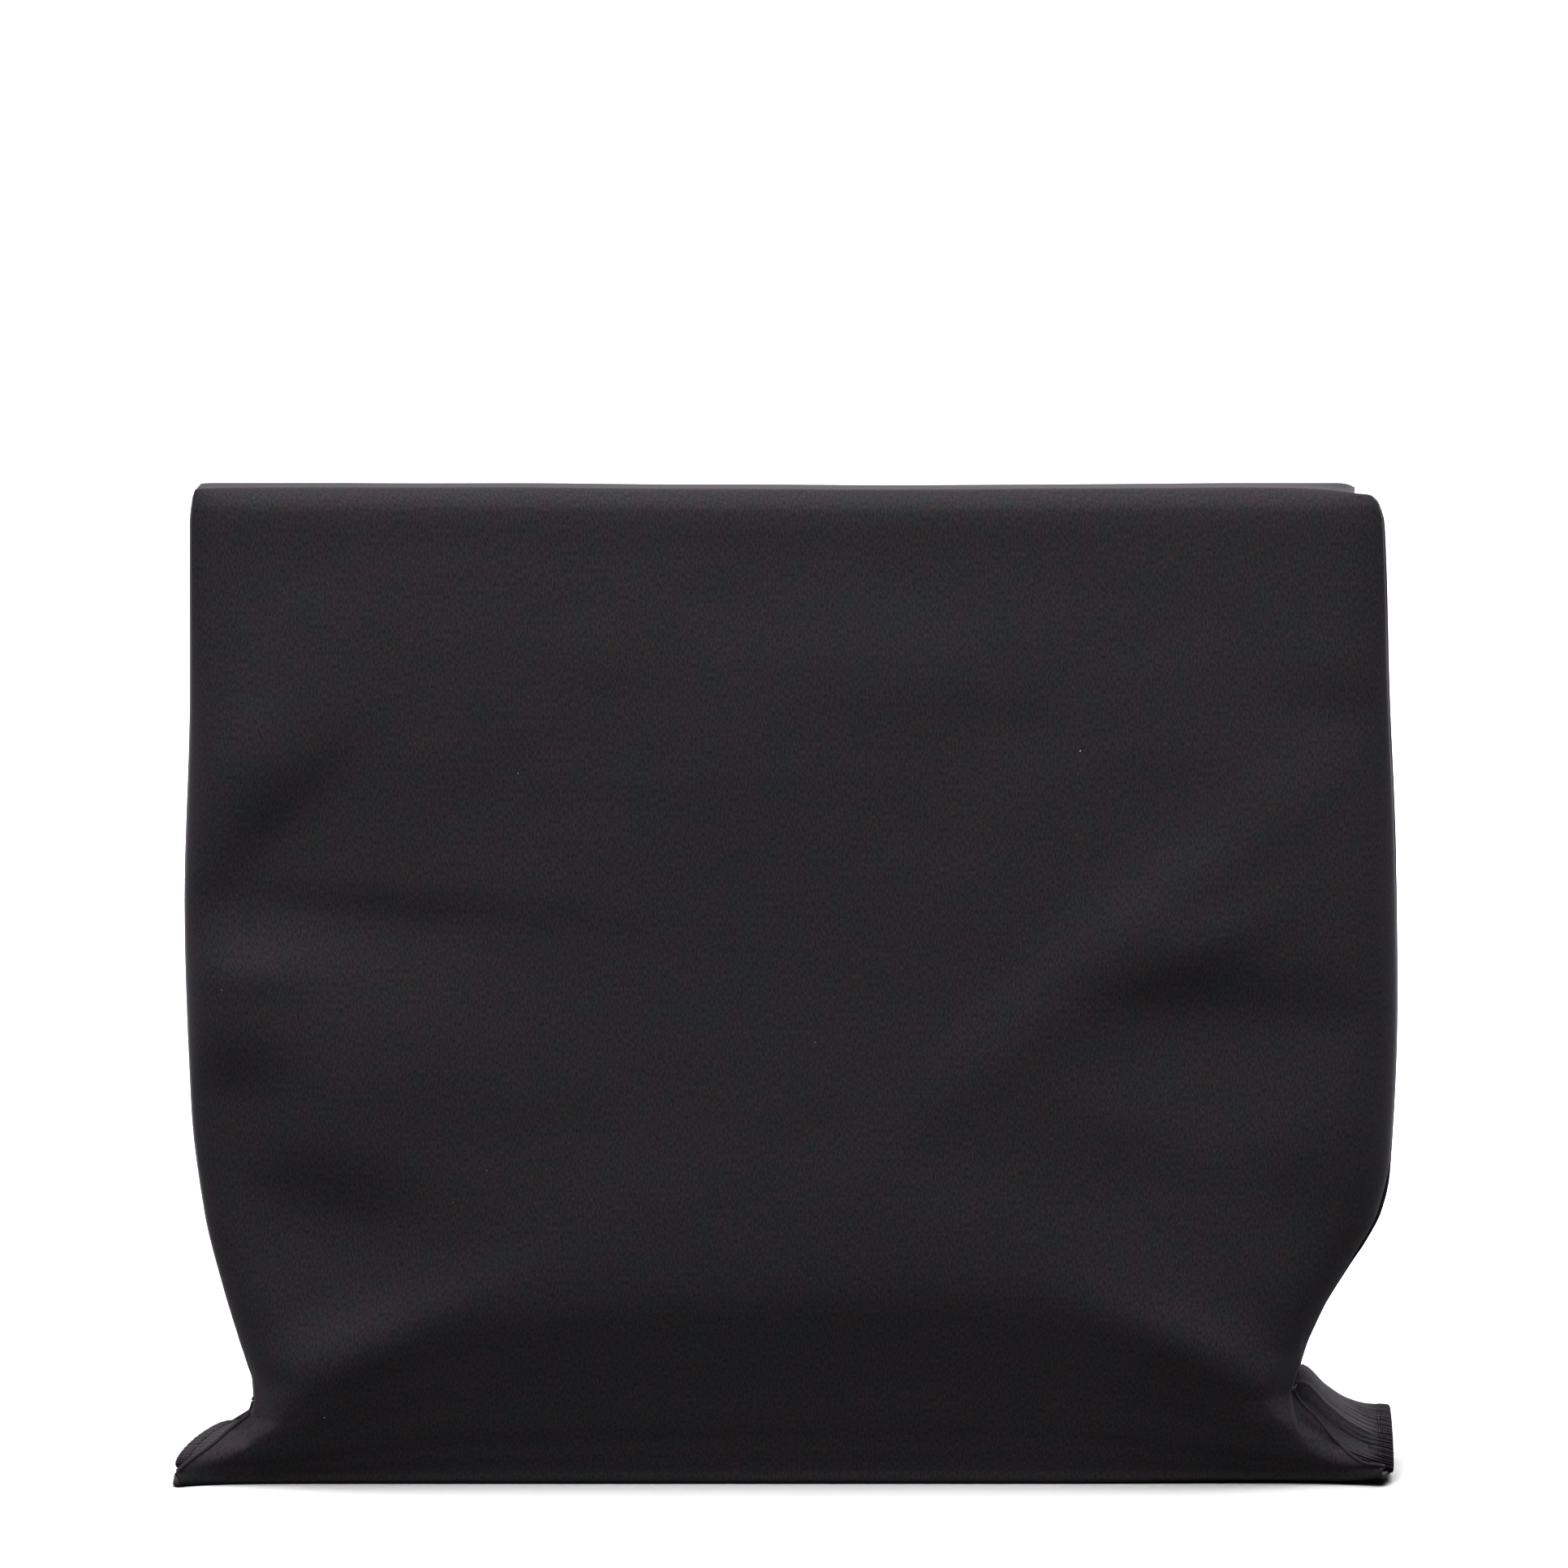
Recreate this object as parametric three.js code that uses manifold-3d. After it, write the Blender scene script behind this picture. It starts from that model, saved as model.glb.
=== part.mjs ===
// A film changing bag: a light-tight bag of two nested layers, with two elastic arm sleeves at one end and two
// zips, one inside the other, at the other end. It stands folded: the arm end lies on the ground as a shallow
// base, the body rises from it, and the zip end is folded over the top and hangs down behind.
// Millimetres. +X is along the width, +Y goes from the front face to the back, +Z is up.
// The origin is on the ground, in the middle of the base.
import * as THREE from "three";

// ---- driving dimensions ----
const BASE_HALF_DEPTH = 55; // the arm end, folded back on the ground
const BASE_HALF_WIDTH = 340; // half of the bag's 27 inch width
const TOP_Z = 555; // the fold over the top
const CLOTH = 1.2; // stand-in thickness of the outer cloth
const LINING = 0.8; // stand-in thickness of the inner cloth
const SEAM_GAP = 0.25; // each panel stops this far short of the seam plane
const LINING_INSET = 2.4; // the lining's outer face, measured in from the outer cloth's outer face
const LINING_SIDE_INSET = 12; // the lining stops this far inside the side seams, clear of their allowances
const SLEEVE_LENGTH = 215;
const SLEEVE_END_X = 338.5;
const HEM_LENGTH = 9.2; // the folded channel that holds the wrist elastic
const FLAP_BOTTOM_Z = 454;
const FLAP_FRONT_Y = -2.4; // the flap's face against the bag's back
const FLAP_BACK_Y = 21;
const FLAP_LEFT_X = -322;
const FLAP_RIGHT_X = 315;

// The left and right edges of the bag, as [height, x]. Both pinch in at the neck, where the arm end folds away.
const LEFT_EDGE = [
  [0, -340], [4, -338], [8, -332.5], [13, -325.5], [21, -316], [30, -305.5], [38, -297.5], [46, -295], [54, -295], [76, -302],
  [110, -312], [150, -321.5], [210, -328.5], [320, -331.6], [440, -328], [535, -327.5], [549, -326], [555, -323],
];
const RIGHT_EDGE = [
  [0, 340], [4, 339], [10, 331], [20, 316], [30, 303.5], [38, 295], [46, 288], [54, 285], [71, 289], [97, 300],
  [124, 315], [151, 331], [185, 337], [265, 339.5], [350, 338], [440, 334], [535, 330.5], [546, 328], [552, 322],
  [555, 312],
];
// How far out the cloth reaches at the ground, as [y, x]: the base's corners are rounded off and the left one is cut in.
const LEFT_CORNER = [[-48, -337], [-42, -340], [0, -337], [20, -333], [48, -327], [55, -322]];
const RIGHT_CORNER = [[-48, 328], [-42, 332], [-25, 337], [0, 340], [20, 340], [48, 336], [55, 333]];
const CORNER_TOP_Z = 9;
// The plane of the side seams, as [height, y].
const SEAM_PLANE = [[0, -24], [TOP_Z, -11]];
// At each neck the side seam ends and the arm opening begins: open below the first height, sewn above the second.
const LEFT_NECK = { open: 40, sewn: 62, drop: 0.35 };
const RIGHT_NECK = { open: 56, sewn: 80, drop: 0 };
// Cross-sections through the middle of the bag, as [y, z], from the top fold to the seam behind the base.
const FRONT_SECTION = [
  [-3.6, 555], [-9, 555], [-16, 551.5], [-21.5, 544], [-26, 520], [-34.5, 460], [-43, 385], [-50.5, 300], [-55, 210],
  [-54, 150], [-50.5, 110], [-46, 78], [-43.5, 52], [-43.5, 30], [-46.5, 14], [-48.5, 5], [-47, 1.3], [-42, 0], [-20, 0],
  [20, 0], [48, 0], [53, 1.8], [54.8, 6],
];
const BACK_SECTION = [
  [-4.6, 551.4], [-4.6, 530], [-5.2, 480], [-6.3, 400], [-7.4, 300], [-7, 200], [-5.6, 150], [-4.5, 120], [-1, 85], [5, 67],
  [17, 60], [31, 51.5], [44, 37], [51.5, 21], [55, 10], [54.9, 6.8],
];
const FLAP_OUTER_SECTION = [[-2, 555], [5, 555], [13, 552], [19, 544.5], [FLAP_BACK_Y, 530], [FLAP_BACK_Y, 486]];
const FLAP_LOWER_SECTION = [
  [FLAP_BACK_Y, 470.5], [FLAP_BACK_Y, 461.5], [18, 456], [10, FLAP_BOTTOM_Z], [-1, FLAP_BOTTOM_Z],
];
const FLAP_INNER_SECTION = [[FLAP_FRONT_Y, 552.4], [FLAP_FRONT_Y, 520], [FLAP_FRONT_Y, 490], [FLAP_FRONT_Y, 458]];
const FLAP_SEAM_Y = 9.3;

// ---- materials ----
const cloth = new THREE.MeshStandardMaterial({ color: 0x28262a, roughness: 0.9, metalness: 0 });
const lining = new THREE.MeshStandardMaterial({ color: 0x1c1c1f, roughness: 0.8, metalness: 0 });
const elastic = new THREE.MeshStandardMaterial({ color: 0x232325, roughness: 0.85, metalness: 0 });
const webbing = new THREE.MeshStandardMaterial({ color: 0x202022, roughness: 0.9, metalness: 0 });
const nylon = new THREE.MeshStandardMaterial({ color: 0x161617, roughness: 0.5, metalness: 0 });
const blackMetal = new THREE.MeshStandardMaterial({ color: 0x1b1b1d, roughness: 0.4, metalness: 0.8 });

const bag = new THREE.Group();

function addPiece(name, geometry, material) {
  const mesh = new THREE.Mesh(geometry, material);
  mesh.name = name;
  bag.add(mesh);
  return mesh;
}

// ---- shells ----
// A list of [key, value] pairs read at a key, with straight lines between them.
function readTable(table, key) {
  const last = table.length - 1;
  if (key <= table[0][0]) return table[0][1];
  if (key >= table[last][0]) return table[last][1];
  const i = table.findIndex(([k]) => k > key);
  const [k0, v0] = table[i - 1];
  const [k1, v1] = table[i];
  return v0 + ((v1 - v0) * (key - k0)) / (k1 - k0);
}

// Rises smoothly from 0 at start to 1 at end; start may be the larger of the two.
function smoothStep(start, end, value) {
  const share = THREE.MathUtils.clamp((value - start) / (end - start), 0, 1);
  return share * share * (3 - 2 * share);
}

// One closed solid between two grids of points, outer[row][column] and inner[row][column].
// A closed shell joins its last column to its first, as a sleeve does.
function shellGeometry(outer, inner, closed = false) {
  const rows = outer.length;
  const columns = outer[0].length;
  const positions = [outer, inner].flatMap((grid) => grid.flatMap((row) => row.flatMap((p) => [p.x, p.y, p.z])));
  const index = [];
  const at = (layer, row, column) => (layer * rows + row) * columns + (column % columns);
  const quad = (a, b, c, d) => index.push(a, b, c, a, c, d);
  const spans = closed ? columns : columns - 1;
  const end = rows - 1;
  for (let u = 0; u < spans; u += 1) {
    for (let v = 0; v < end; v += 1) {
      quad(at(0, v, u), at(0, v, u + 1), at(0, v + 1, u + 1), at(0, v + 1, u));
      quad(at(1, v, u), at(1, v + 1, u), at(1, v + 1, u + 1), at(1, v, u + 1));
    }
    quad(at(0, 0, u + 1), at(0, 0, u), at(1, 0, u), at(1, 0, u + 1));
    quad(at(0, end, u), at(0, end, u + 1), at(1, end, u + 1), at(1, end, u));
  }
  if (!closed) {
    const side = columns - 1;
    for (let v = 0; v < end; v += 1) {
      quad(at(0, v, 0), at(0, v + 1, 0), at(1, v + 1, 0), at(1, v, 0));
      quad(at(0, v + 1, side), at(0, v, side), at(1, v, side), at(1, v + 1, side));
    }
  }
  if (signedVolume(positions, index) < 0) index.reverse();
  const geometry = new THREE.BufferGeometry();
  geometry.setAttribute("position", new THREE.Float32BufferAttribute(positions, 3));
  geometry.setIndex(index);
  geometry.computeVertexNormals();
  return geometry;
}

function signedVolume(positions, index) {
  const corner = (i) => new THREE.Vector3().fromArray(positions, 3 * index[i]);
  let volume = 0;
  for (let i = 0; i < index.length; i += 3) volume += corner(i).dot(corner(i + 1).cross(corner(i + 2))) / 6;
  return volume;
}

// A section's points moved in from the outer face by an inset, along the normals that point left of its run.
function insetSection(section, inset) {
  return section.map(([y, z], i) => {
    const [y0, z0] = section[Math.max(i - 1, 0)];
    const [y1, z1] = section[Math.min(i + 1, section.length - 1)];
    const length = Math.hypot(y1 - y0, z1 - z0);
    return [y - (inset * (z1 - z0)) / length, z + (inset * (y1 - y0)) / length];
  });
}

// ---- the body and base ----
const DROP_START_X = 225; // the top of the base slopes down to a neck from this far out
const DROP_ABOVE_Z = 8; // the base seam stays where it is
const EDGE_ROUNDING = 16; // the higher this is, the flatter a panel stays before it turns in to its seam

function roundedShare(across) {
  return Math.sqrt(Math.max(0, 1 - Math.abs(across) ** EDGE_ROUNDING));
}

// Columns from -1 to 1, closer together near the sides. The lining shares the cloth's, apart from the pair by the seams.
const CLOTH_COLUMNS = Array.from({ length: 13 }, (_, i) => Math.sin((Math.PI / 2) * (i / 6 - 1)));
const LINING_COLUMNS = CLOTH_COLUMNS.filter((_, i) => i !== 1 && i !== 11);

function leftEdgeAt(y, z) {
  const edge = readTable(LEFT_EDGE, z);
  return z < CORNER_TOP_Z ? Math.max(edge, readTable(LEFT_CORNER, y)) : edge;
}

function rightEdgeAt(y, z) {
  const edge = readTable(RIGHT_EDGE, z);
  return z < CORNER_TOP_Z ? Math.min(edge, readTable(RIGHT_CORNER, y)) : edge;
}

function dropped(z, drop) {
  return z - drop * Math.max(z - DROP_ABOVE_Z, 0);
}

// One face of a panel, as a grid. side is 1 for a front panel and -1 for a back one; its rim lies on the seam plane.
function bodyFace(section, side, inset, sideInset, columns) {
  const moved = insetSection(section, side * inset);
  const grid = [];
  section.forEach(([outerY, outerZ], i) => {
    const [y, z] = moved[i];
    const left = leftEdgeAt(outerY, outerZ);
    const right = rightEdgeAt(outerY, outerZ);
    const seamY = readTable(SEAM_PLANE, outerZ) - side * SEAM_GAP;
    const isBase = smoothStep(120, 60, outerZ) * (side < 0 ? 1 : 0);
    grid.push(
      columns.map((across) => {
        const neck = across < 0 ? LEFT_NECK : RIGHT_NECK;
        const sewn = smoothStep(neck.open, neck.sewn, outerZ);
        const onSpan = THREE.MathUtils.mapLinear(across, -1, 1, left, right);
        const x = THREE.MathUtils.clamp(onSpan, left + sideInset, right - sideInset);
        const drop = neck.drop * isBase * smoothStep(DROP_START_X, 295, Math.abs(x));
        const turnedY = THREE.MathUtils.lerp(y, seamY, sewn * (1 - roundedShare(across)));
        return new THREE.Vector3(x, turnedY, dropped(z, drop));
      }),
    );
  });
  return grid;
}

function addBodyPanel(name, section, side, inset, thickness, sideInset, columns, material) {
  const outer = bodyFace(section, side, inset, sideInset, columns);
  const inner = bodyFace(section, side, inset + thickness, sideInset + thickness, columns);
  addPiece(name, shellGeometry(outer, inner), material);
}

function addOuterBag() {
  addBodyPanel("outer_front_panel", FRONT_SECTION, 1, 0, CLOTH, 0, CLOTH_COLUMNS, cloth);
  addBodyPanel("outer_back_panel", BACK_SECTION, -1, 0, CLOTH, 0, CLOTH_COLUMNS, cloth);
}

// The lining follows the outer cloth, and stops short of the seam behind the base.
function addInnerBag() {
  const liningFront = FRONT_SECTION.slice(1, -2);
  liningFront[0] = [-9.5, 553.4];
  const liningBack = BACK_SECTION.slice(0, -3);
  liningBack[0] = [-4.6, 548.5];
  addBodyPanel("inner_front_panel", liningFront, 1, LINING_INSET, LINING, LINING_SIDE_INSET, LINING_COLUMNS, lining);
  addBodyPanel("inner_back_panel", liningBack, -1, LINING_INSET, LINING, LINING_SIDE_INSET, LINING_COLUMNS, lining);
}

// The turned-in seam allowances, flat strips inside the side edges.
function addSideSeams() {
  const heights = [90, 120, 150, 205, 300, 400, 480, 525];
  const allowance = { near: 4, far: 9.5, half: 0.4 };
  for (const [name, edge, inward] of [["left_side_seam", LEFT_EDGE, 1], ["right_side_seam", RIGHT_EDGE, -1]]) {
    const face = (offset) =>
      heights.map((z) =>
        [allowance.near, allowance.far].map(
          (depth) =>
            new THREE.Vector3(readTable(edge, z) + inward * depth, readTable(SEAM_PLANE, z) + offset, z),
        ),
      );
    addPiece(name, shellGeometry(face(-allowance.half), face(allowance.half)), webbing);
  }
}

// The seam allowance behind the base, inside its lower back edge.
function addBaseSeam() {
  const strip = new THREE.BoxGeometry(560, 6, 1.6);
  strip.translate(0, 49.5, 6.4);
  addPiece("base_seam", strip, webbing);
}

// The turned hem round each arm opening, between the outer cloth and the lining.
function addArmOpeningHems() {
  const hem = { width: 8, inset: 1.5, thickness: 0.5 };
  for (const [where, edgeAt, inward, neck] of [["left", leftEdgeAt, 1, LEFT_NECK], ["right", rightEdgeAt, -1, RIGHT_NECK]]) {
    for (const [face, section, side] of [["front", FRONT_SECTION, 1], ["back", BACK_SECTION, -1]]) {
      const layer = (inset) => {
        const moved = insetSection(section, side * inset);
        return section.flatMap(([outerY, outerZ], i) => {
          if (outerZ >= neck.open) return [];
          const x = edgeAt(outerY, outerZ);
          const drop = side < 0 ? neck.drop : 0;
          const row = [x + inward * 0.5, x + inward * hem.width];
          return [row.map((along) => new THREE.Vector3(along, moved[i][0], dropped(moved[i][1], drop)))];
        });
      };
      const geometry = shellGeometry(layer(hem.inset), layer(hem.inset + hem.thickness));
      addPiece(`${where}_opening_hem_${face}`, geometry, webbing);
    }
  }
}

// ---- the arm sleeves ----
// Each sleeve's oval section, as [distance in from the cuff's end, value]. The left one has sunk lower than the right.
const SLEEVE_HALF_DEPTH = [[0, 37], [20, 37.5], [60, 37], [82, 35], [90, 33], [98, 35], [120, 37], [215, 37]];
const LEFT_SLEEVE = {
  side: -1,
  halfHeight: [[0, 9], [12, 9.5], [50, 12.5], [82, 11.5], [90, 10.2], [98, 11.5], [120, 12.5], [215, 12.5]],
  centreZ: [[0, 14], [12, 14.4], [50, 17.4], [82, 17.4], [215, 17.4]],
  tilt: [[0, 0.08], [30, 0.04], [70, 0], [215, 0]],
  skew: [[0, 0.42], [12, 0.4], [110, 0], [215, 0]],
};
const RIGHT_SLEEVE = {
  side: 1,
  halfHeight: [[0, 11.5], [12, 12.5], [25, 15.5], [50, 24], [82, 18], [90, 15.5], [98, 17.5], [120, 20.5], [215, 20]],
  centreZ: [[0, 17.6], [12, 18.8], [25, 21.5], [50, 29], [82, 25.5], [215, 24.4]],
  tilt: [[0, 0.22], [30, 0.12], [70, 0.03], [110, 0], [215, 0]],
  skew: [[0, 0], [215, 0]],
};
const SLEEVE_CENTRE_Y = [[0, -3.5], [50, 0], [215, 1]];

// A point on a sleeve: angle round it, distance in from the cuff's end, and inset from its outer face.
function sleevePoint(sleeve, angle, along, inset) {
  const reachY = (readTable(SLEEVE_HALF_DEPTH, along) - inset) * Math.cos(angle);
  const reachZ = (readTable(sleeve.halfHeight, along) - inset) * Math.sin(angle);
  const tilt = readTable(sleeve.tilt, along);
  const skewed = readTable(sleeve.skew, along) * (reachY + SLEEVE_HALF_DEPTH[0][1]);
  return new THREE.Vector3(
    sleeve.side * (SLEEVE_END_X - along - skewed),
    readTable(SLEEVE_CENTRE_Y, along) + reachY * Math.cos(tilt) - reachZ * Math.sin(tilt),
    readTable(sleeve.centreZ, along) + reachY * Math.sin(tilt) + reachZ * Math.cos(tilt),
  );
}

// A tube round the sleeve whose wall runs through profile points [along, inset], outer face first.
function sleeveShell(sleeve, outerProfile, innerProfile, around) {
  const grid = (profile) =>
    profile.map(([along, inset]) =>
      Array.from({ length: around }, (_, i) => sleevePoint(sleeve, (2 * Math.PI * i) / around, along, inset)),
    );
  return shellGeometry(grid(outerProfile), grid(innerProfile), true);
}

function sleeveTube(sleeve, stations, inset, thickness, around) {
  const profile = (depth) => stations.map((along) => [along, depth]);
  return sleeveShell(sleeve, profile(inset), profile(inset + thickness), around);
}

function addSleeve(where, sleeve) {
  const clothStations = [HEM_LENGTH + 0.4, 25, 50, 82, 90, 98, 120, SLEEVE_LENGTH];
  addPiece(`${where}_sleeve_cloth`, sleeveTube(sleeve, clothStations, 0, 1, 20), cloth);
  const liningStations = [HEM_LENGTH + 0.4, 25, 50, 82, 90, 98, 120, SLEEVE_LENGTH - 3];
  addPiece(`${where}_sleeve_lining`, sleeveTube(sleeve, liningStations, 2.2, LINING, 16), lining);
  const hemOuter = [[HEM_LENGTH, 0], [1, 0], [0, 1], [0, 3.2], [1, 4.2], [HEM_LENGTH, 4.2]];
  const hemInner = [[HEM_LENGTH, 0.8], [1.2, 0.8], [0.8, 1.2], [0.8, 3], [1.2, 3.4], [HEM_LENGTH, 3.4]];
  addPiece(`${where}_cuff_hem`, sleeveShell(sleeve, hemOuter, hemInner, 24), cloth);
  addPiece(`${where}_wrist_elastic`, sleeveTube(sleeve, [1.7, 8.6], 1.4, 1.4, 24), elastic);
  addPiece(`${where}_forearm_elastic`, sleeveTube(sleeve, [86, 90, 94], 1.3, 0.5, 20), elastic);
}

// ---- the zip end, folded over the top and hanging behind ----
// How far from the flap's side edge, as [distance, share of its depth]: a quarter circle, then flat.
function quarterRound(distance, radius) {
  return Math.sqrt(1 - (1 - Math.min(distance / radius, 1)) ** 2);
}

// One face of the flap. Its side edges turn in to their own seam plane; side is 1 for the face towards the bag.
function flapFace(section, side, inset, sideInset, seamY, radius) {
  const left = FLAP_LEFT_X + sideInset;
  const right = FLAP_RIGHT_X - sideInset;
  const steps = [0, 0.12, 0.4, 1].map((share) => share * radius);
  const middle = [0.25, 0.5, 0.75].map((share) => THREE.MathUtils.lerp(left, right, share));
  const columns = [...steps.map((step) => left + step), ...middle, ...steps.map((step) => right - step).reverse()];
  return insetSection(section, side * inset).map(([y, z]) =>
    columns.map((x) => {
      const share = quarterRound(Math.min(x - left, right - x), radius);
      return new THREE.Vector3(x, THREE.MathUtils.lerp(seamY - side * SEAM_GAP, y, share), z);
    }),
  );
}

function addFlapPanel(name, section, side, thickness, sideInset, seamY, radius, material) {
  const outer = flapFace(section, side, 0, sideInset, seamY, radius);
  const inner = flapFace(section, side, thickness, sideInset + thickness, seamY, radius);
  addPiece(name, shellGeometry(outer, inner), material);
}

const INNER_ZIP_Z = 505;
const OUTER_ZIP_Z = 478;
const OPENING_HALF = 7.8; // the slot that the zip fills is this far each side of its centre line
const INNER_FLAP_Y = 12.8;
const INNER_FLAP_BOTTOM_Z = 468;
const INNER_FLAP_SEAM_Y = 6;

function addFlap() {
  addFlapPanel("flap_cloth_upper", FLAP_OUTER_SECTION, -1, CLOTH, 0, FLAP_SEAM_Y, 10, cloth);
  addFlapPanel("flap_cloth_lower", FLAP_LOWER_SECTION, -1, CLOTH, 0, FLAP_SEAM_Y, 10, cloth);
  addFlapPanel("flap_cloth_back", FLAP_INNER_SECTION, 1, CLOTH, 0, FLAP_SEAM_Y, 10, cloth);
  const upper = [[2, 549], [8, 548], [INNER_FLAP_Y - 0.6, 543], [INNER_FLAP_Y, 530], [INNER_FLAP_Y, INNER_ZIP_Z + OPENING_HALF]];
  const lowEdge = INNER_FLAP_BOTTOM_Z;
  const lower = [
    [INNER_FLAP_Y, INNER_ZIP_Z - OPENING_HALF], [INNER_FLAP_Y, 476], [INNER_FLAP_Y - 3, lowEdge + 1], [6, lowEdge], [1.2, lowEdge],
  ];
  const back = [[0, 546.5], [0, 510], [0, lowEdge + 2]];
  addFlapPanel("inner_flap_upper", upper, -1, LINING, 5, INNER_FLAP_SEAM_Y, 6, lining);
  addFlapPanel("inner_flap_lower", lower, -1, LINING, 5, INNER_FLAP_SEAM_Y, 6, lining);
  addFlapPanel("inner_flap_back", back, 1, LINING, 5, INNER_FLAP_SEAM_Y, 6, lining);
}

// ---- the zips ----
// A zip lies along X. Its faces look to +Y, and centreY is the middle of its tape.
const CHAIN = { half: 3, gapHalf: 0.9, halfThickness: 1.1, halfLength: 303 };
const TAPE = { width: 12.4, halfThickness: 0.3, halfLength: 306 };
const SLIDER = { length: 13, half: 4.9, plate: 1.4, clearance: 0.5, postLength: 4, postHalf: 0.5 };
const ZIP_MIDDLE_X = -3.5;
const SLIDER_END_X = 295; // the slider's distance from the zip's middle when it is closed, and when it is open

function block(x0, x1, y0, y1, z0, z1) {
  const box = new THREE.BoxGeometry(x1 - x0, y1 - y0, z1 - z0);
  box.translate((x0 + x1) / 2, (y0 + y1) / 2, (z0 + z1) / 2);
  return box;
}

function addZipTapesAndCoils(prefix, centreY, centreZ) {
  for (const [which, up] of [["upper", 1], ["lower", -1]]) {
    const coil = [centreZ + up * CHAIN.gapHalf, centreZ + up * CHAIN.half].sort((a, b) => a - b);
    const coilX = [ZIP_MIDDLE_X - CHAIN.halfLength, ZIP_MIDDLE_X + CHAIN.halfLength];
    const coilY = [centreY - CHAIN.halfThickness, centreY + CHAIN.halfThickness];
    addPiece(`${prefix}_zip_coil_${which}`, block(...coilX, ...coilY, ...coil), nylon);
    const tapeStart = CHAIN.half + 0.3;
    const tape = [centreZ + up * tapeStart, centreZ + up * (tapeStart + TAPE.width)].sort((a, b) => a - b);
    const tapeX = [ZIP_MIDDLE_X - TAPE.halfLength, ZIP_MIDDLE_X + TAPE.halfLength];
    const tapeY = [centreY - TAPE.halfThickness, centreY + TAPE.halfThickness];
    addPiece(`${prefix}_zip_tape_${which}`, block(...tapeX, ...tapeY, ...tape), webbing);
  }
}

function addZipStops(prefix, centreY, centreZ) {
  const stop = { near: CHAIN.halfLength + 0.4, length: 2.4, halfHeight: 2.9, halfThickness: 1.4 };
  for (const [which, side] of [["left", -1], ["right", 1]]) {
    const x = [ZIP_MIDDLE_X + side * stop.near, ZIP_MIDDLE_X + side * (stop.near + stop.length)].sort((a, b) => a - b);
    const y = [centreY - stop.halfThickness, centreY + stop.halfThickness];
    const z = [centreZ - stop.halfHeight, centreZ + stop.halfHeight];
    addPiece(`${prefix}_zip_stop_${which}`, block(...x, ...y, ...z), blackMetal);
  }
}

// The outline of a slider's plate: broad at the nose, where the two coils enter, and narrow at the tail.
function sliderPlate(noseDirection, y0, y1) {
  const half = SLIDER.length / 2;
  const tailHalf = SLIDER.half - 1.3;
  const outline = new THREE.Shape();
  outline.moveTo(-half, -tailHalf);
  outline.lineTo(half * 0.1, -SLIDER.half);
  outline.quadraticCurveTo(half, -SLIDER.half, half, 0);
  outline.quadraticCurveTo(half, SLIDER.half, half * 0.1, SLIDER.half);
  outline.lineTo(-half, tailHalf);
  const plate = new THREE.ExtrudeGeometry(outline, { depth: y1 - y0, bevelEnabled: false, curveSegments: 5 });
  plate.rotateX(Math.PI / 2);
  plate.translate(0, y1, 0);
  if (noseDirection < 0) plate.rotateZ(Math.PI).translate(0, y0 + y1, 0);
  return plate;
}

// ---- booleans ----
const { default: Module } = await import("manifold-3d");
const { mergeVertices } = await import("three/addons/utils/BufferGeometryUtils.js");
const wasm = await Module();
wasm.setup();

function toSolid(geometry) {
  const bare = new THREE.BufferGeometry();
  bare.setAttribute("position", geometry.getAttribute("position").clone());
  if (geometry.index) bare.setIndex(geometry.index.clone());
  const merged = mergeVertices(bare, 1e-4);
  return new wasm.Manifold(
    new wasm.Mesh({
      numProp: 3,
      vertProperties: new Float32Array(merged.attributes.position.array),
      triVerts: new Uint32Array(merged.index.array),
    }),
  );
}

function fromSolid(solid) {
  const mesh = solid.getMesh();
  const geometry = new THREE.BufferGeometry();
  geometry.setAttribute("position", new THREE.Float32BufferAttribute(mesh.vertProperties, 3));
  geometry.setIndex(Array.from(mesh.triVerts));
  geometry.computeVertexNormals();
  return geometry;
}

function join(...geometries) {
  return fromSolid(geometries.map(toSolid).reduce((whole, next) => whole.add(next)));
}

function cut(geometry, ...cutters) {
  return fromSolid(cutters.map(toSolid).reduce((whole, next) => whole.subtract(next), toSolid(geometry)));
}

// A slider is two plates, a post between the coils that joins them, and a bridge on its face for the pull.
const BRIDGE = { halfLength: 4.2, leg: 1.4, halfHeight: 1.1, gap: 1.5, top: 0.9 };

function addZipSlider(prefix, centreX, centreY, centreZ, noseDirection) {
  const inner = CHAIN.halfThickness + SLIDER.clearance;
  const face = inner + SLIDER.plate;
  const front = sliderPlate(noseDirection, inner, face);
  const back = sliderPlate(noseDirection, -face, -inner);
  const postNose = noseDirection * (SLIDER.length / 2 - 0.8);
  const postX = [postNose, postNose - noseDirection * SLIDER.postLength].sort((a, b) => a - b);
  const post = block(...postX, -face + 0.2, face - 0.2, -SLIDER.postHalf, SLIDER.postHalf);
  const arch = block(
    -BRIDGE.halfLength, BRIDGE.halfLength, face - 0.2, face + BRIDGE.gap + BRIDGE.top, -BRIDGE.halfHeight, BRIDGE.halfHeight,
  );
  const underArch = block(
    -BRIDGE.halfLength + BRIDGE.leg, BRIDGE.halfLength - BRIDGE.leg, face, face + BRIDGE.gap, -3, 3,
  );
  const slider = join(front, back, post, cut(arch, underArch));
  slider.translate(centreX, centreY, centreZ);
  addPiece(`${prefix}_zip_slider`, slider, blackMetal);
}

// A pull is a flat tab with an eye. The eye's bar lies across the zip under the bridge, and the tab folds flat along it.
const PULL = { thickness: 0.9, bar: 0.45, eyeLength: 5, eyeHalf: 1.5, eyeSide: 1.1 };

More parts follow.
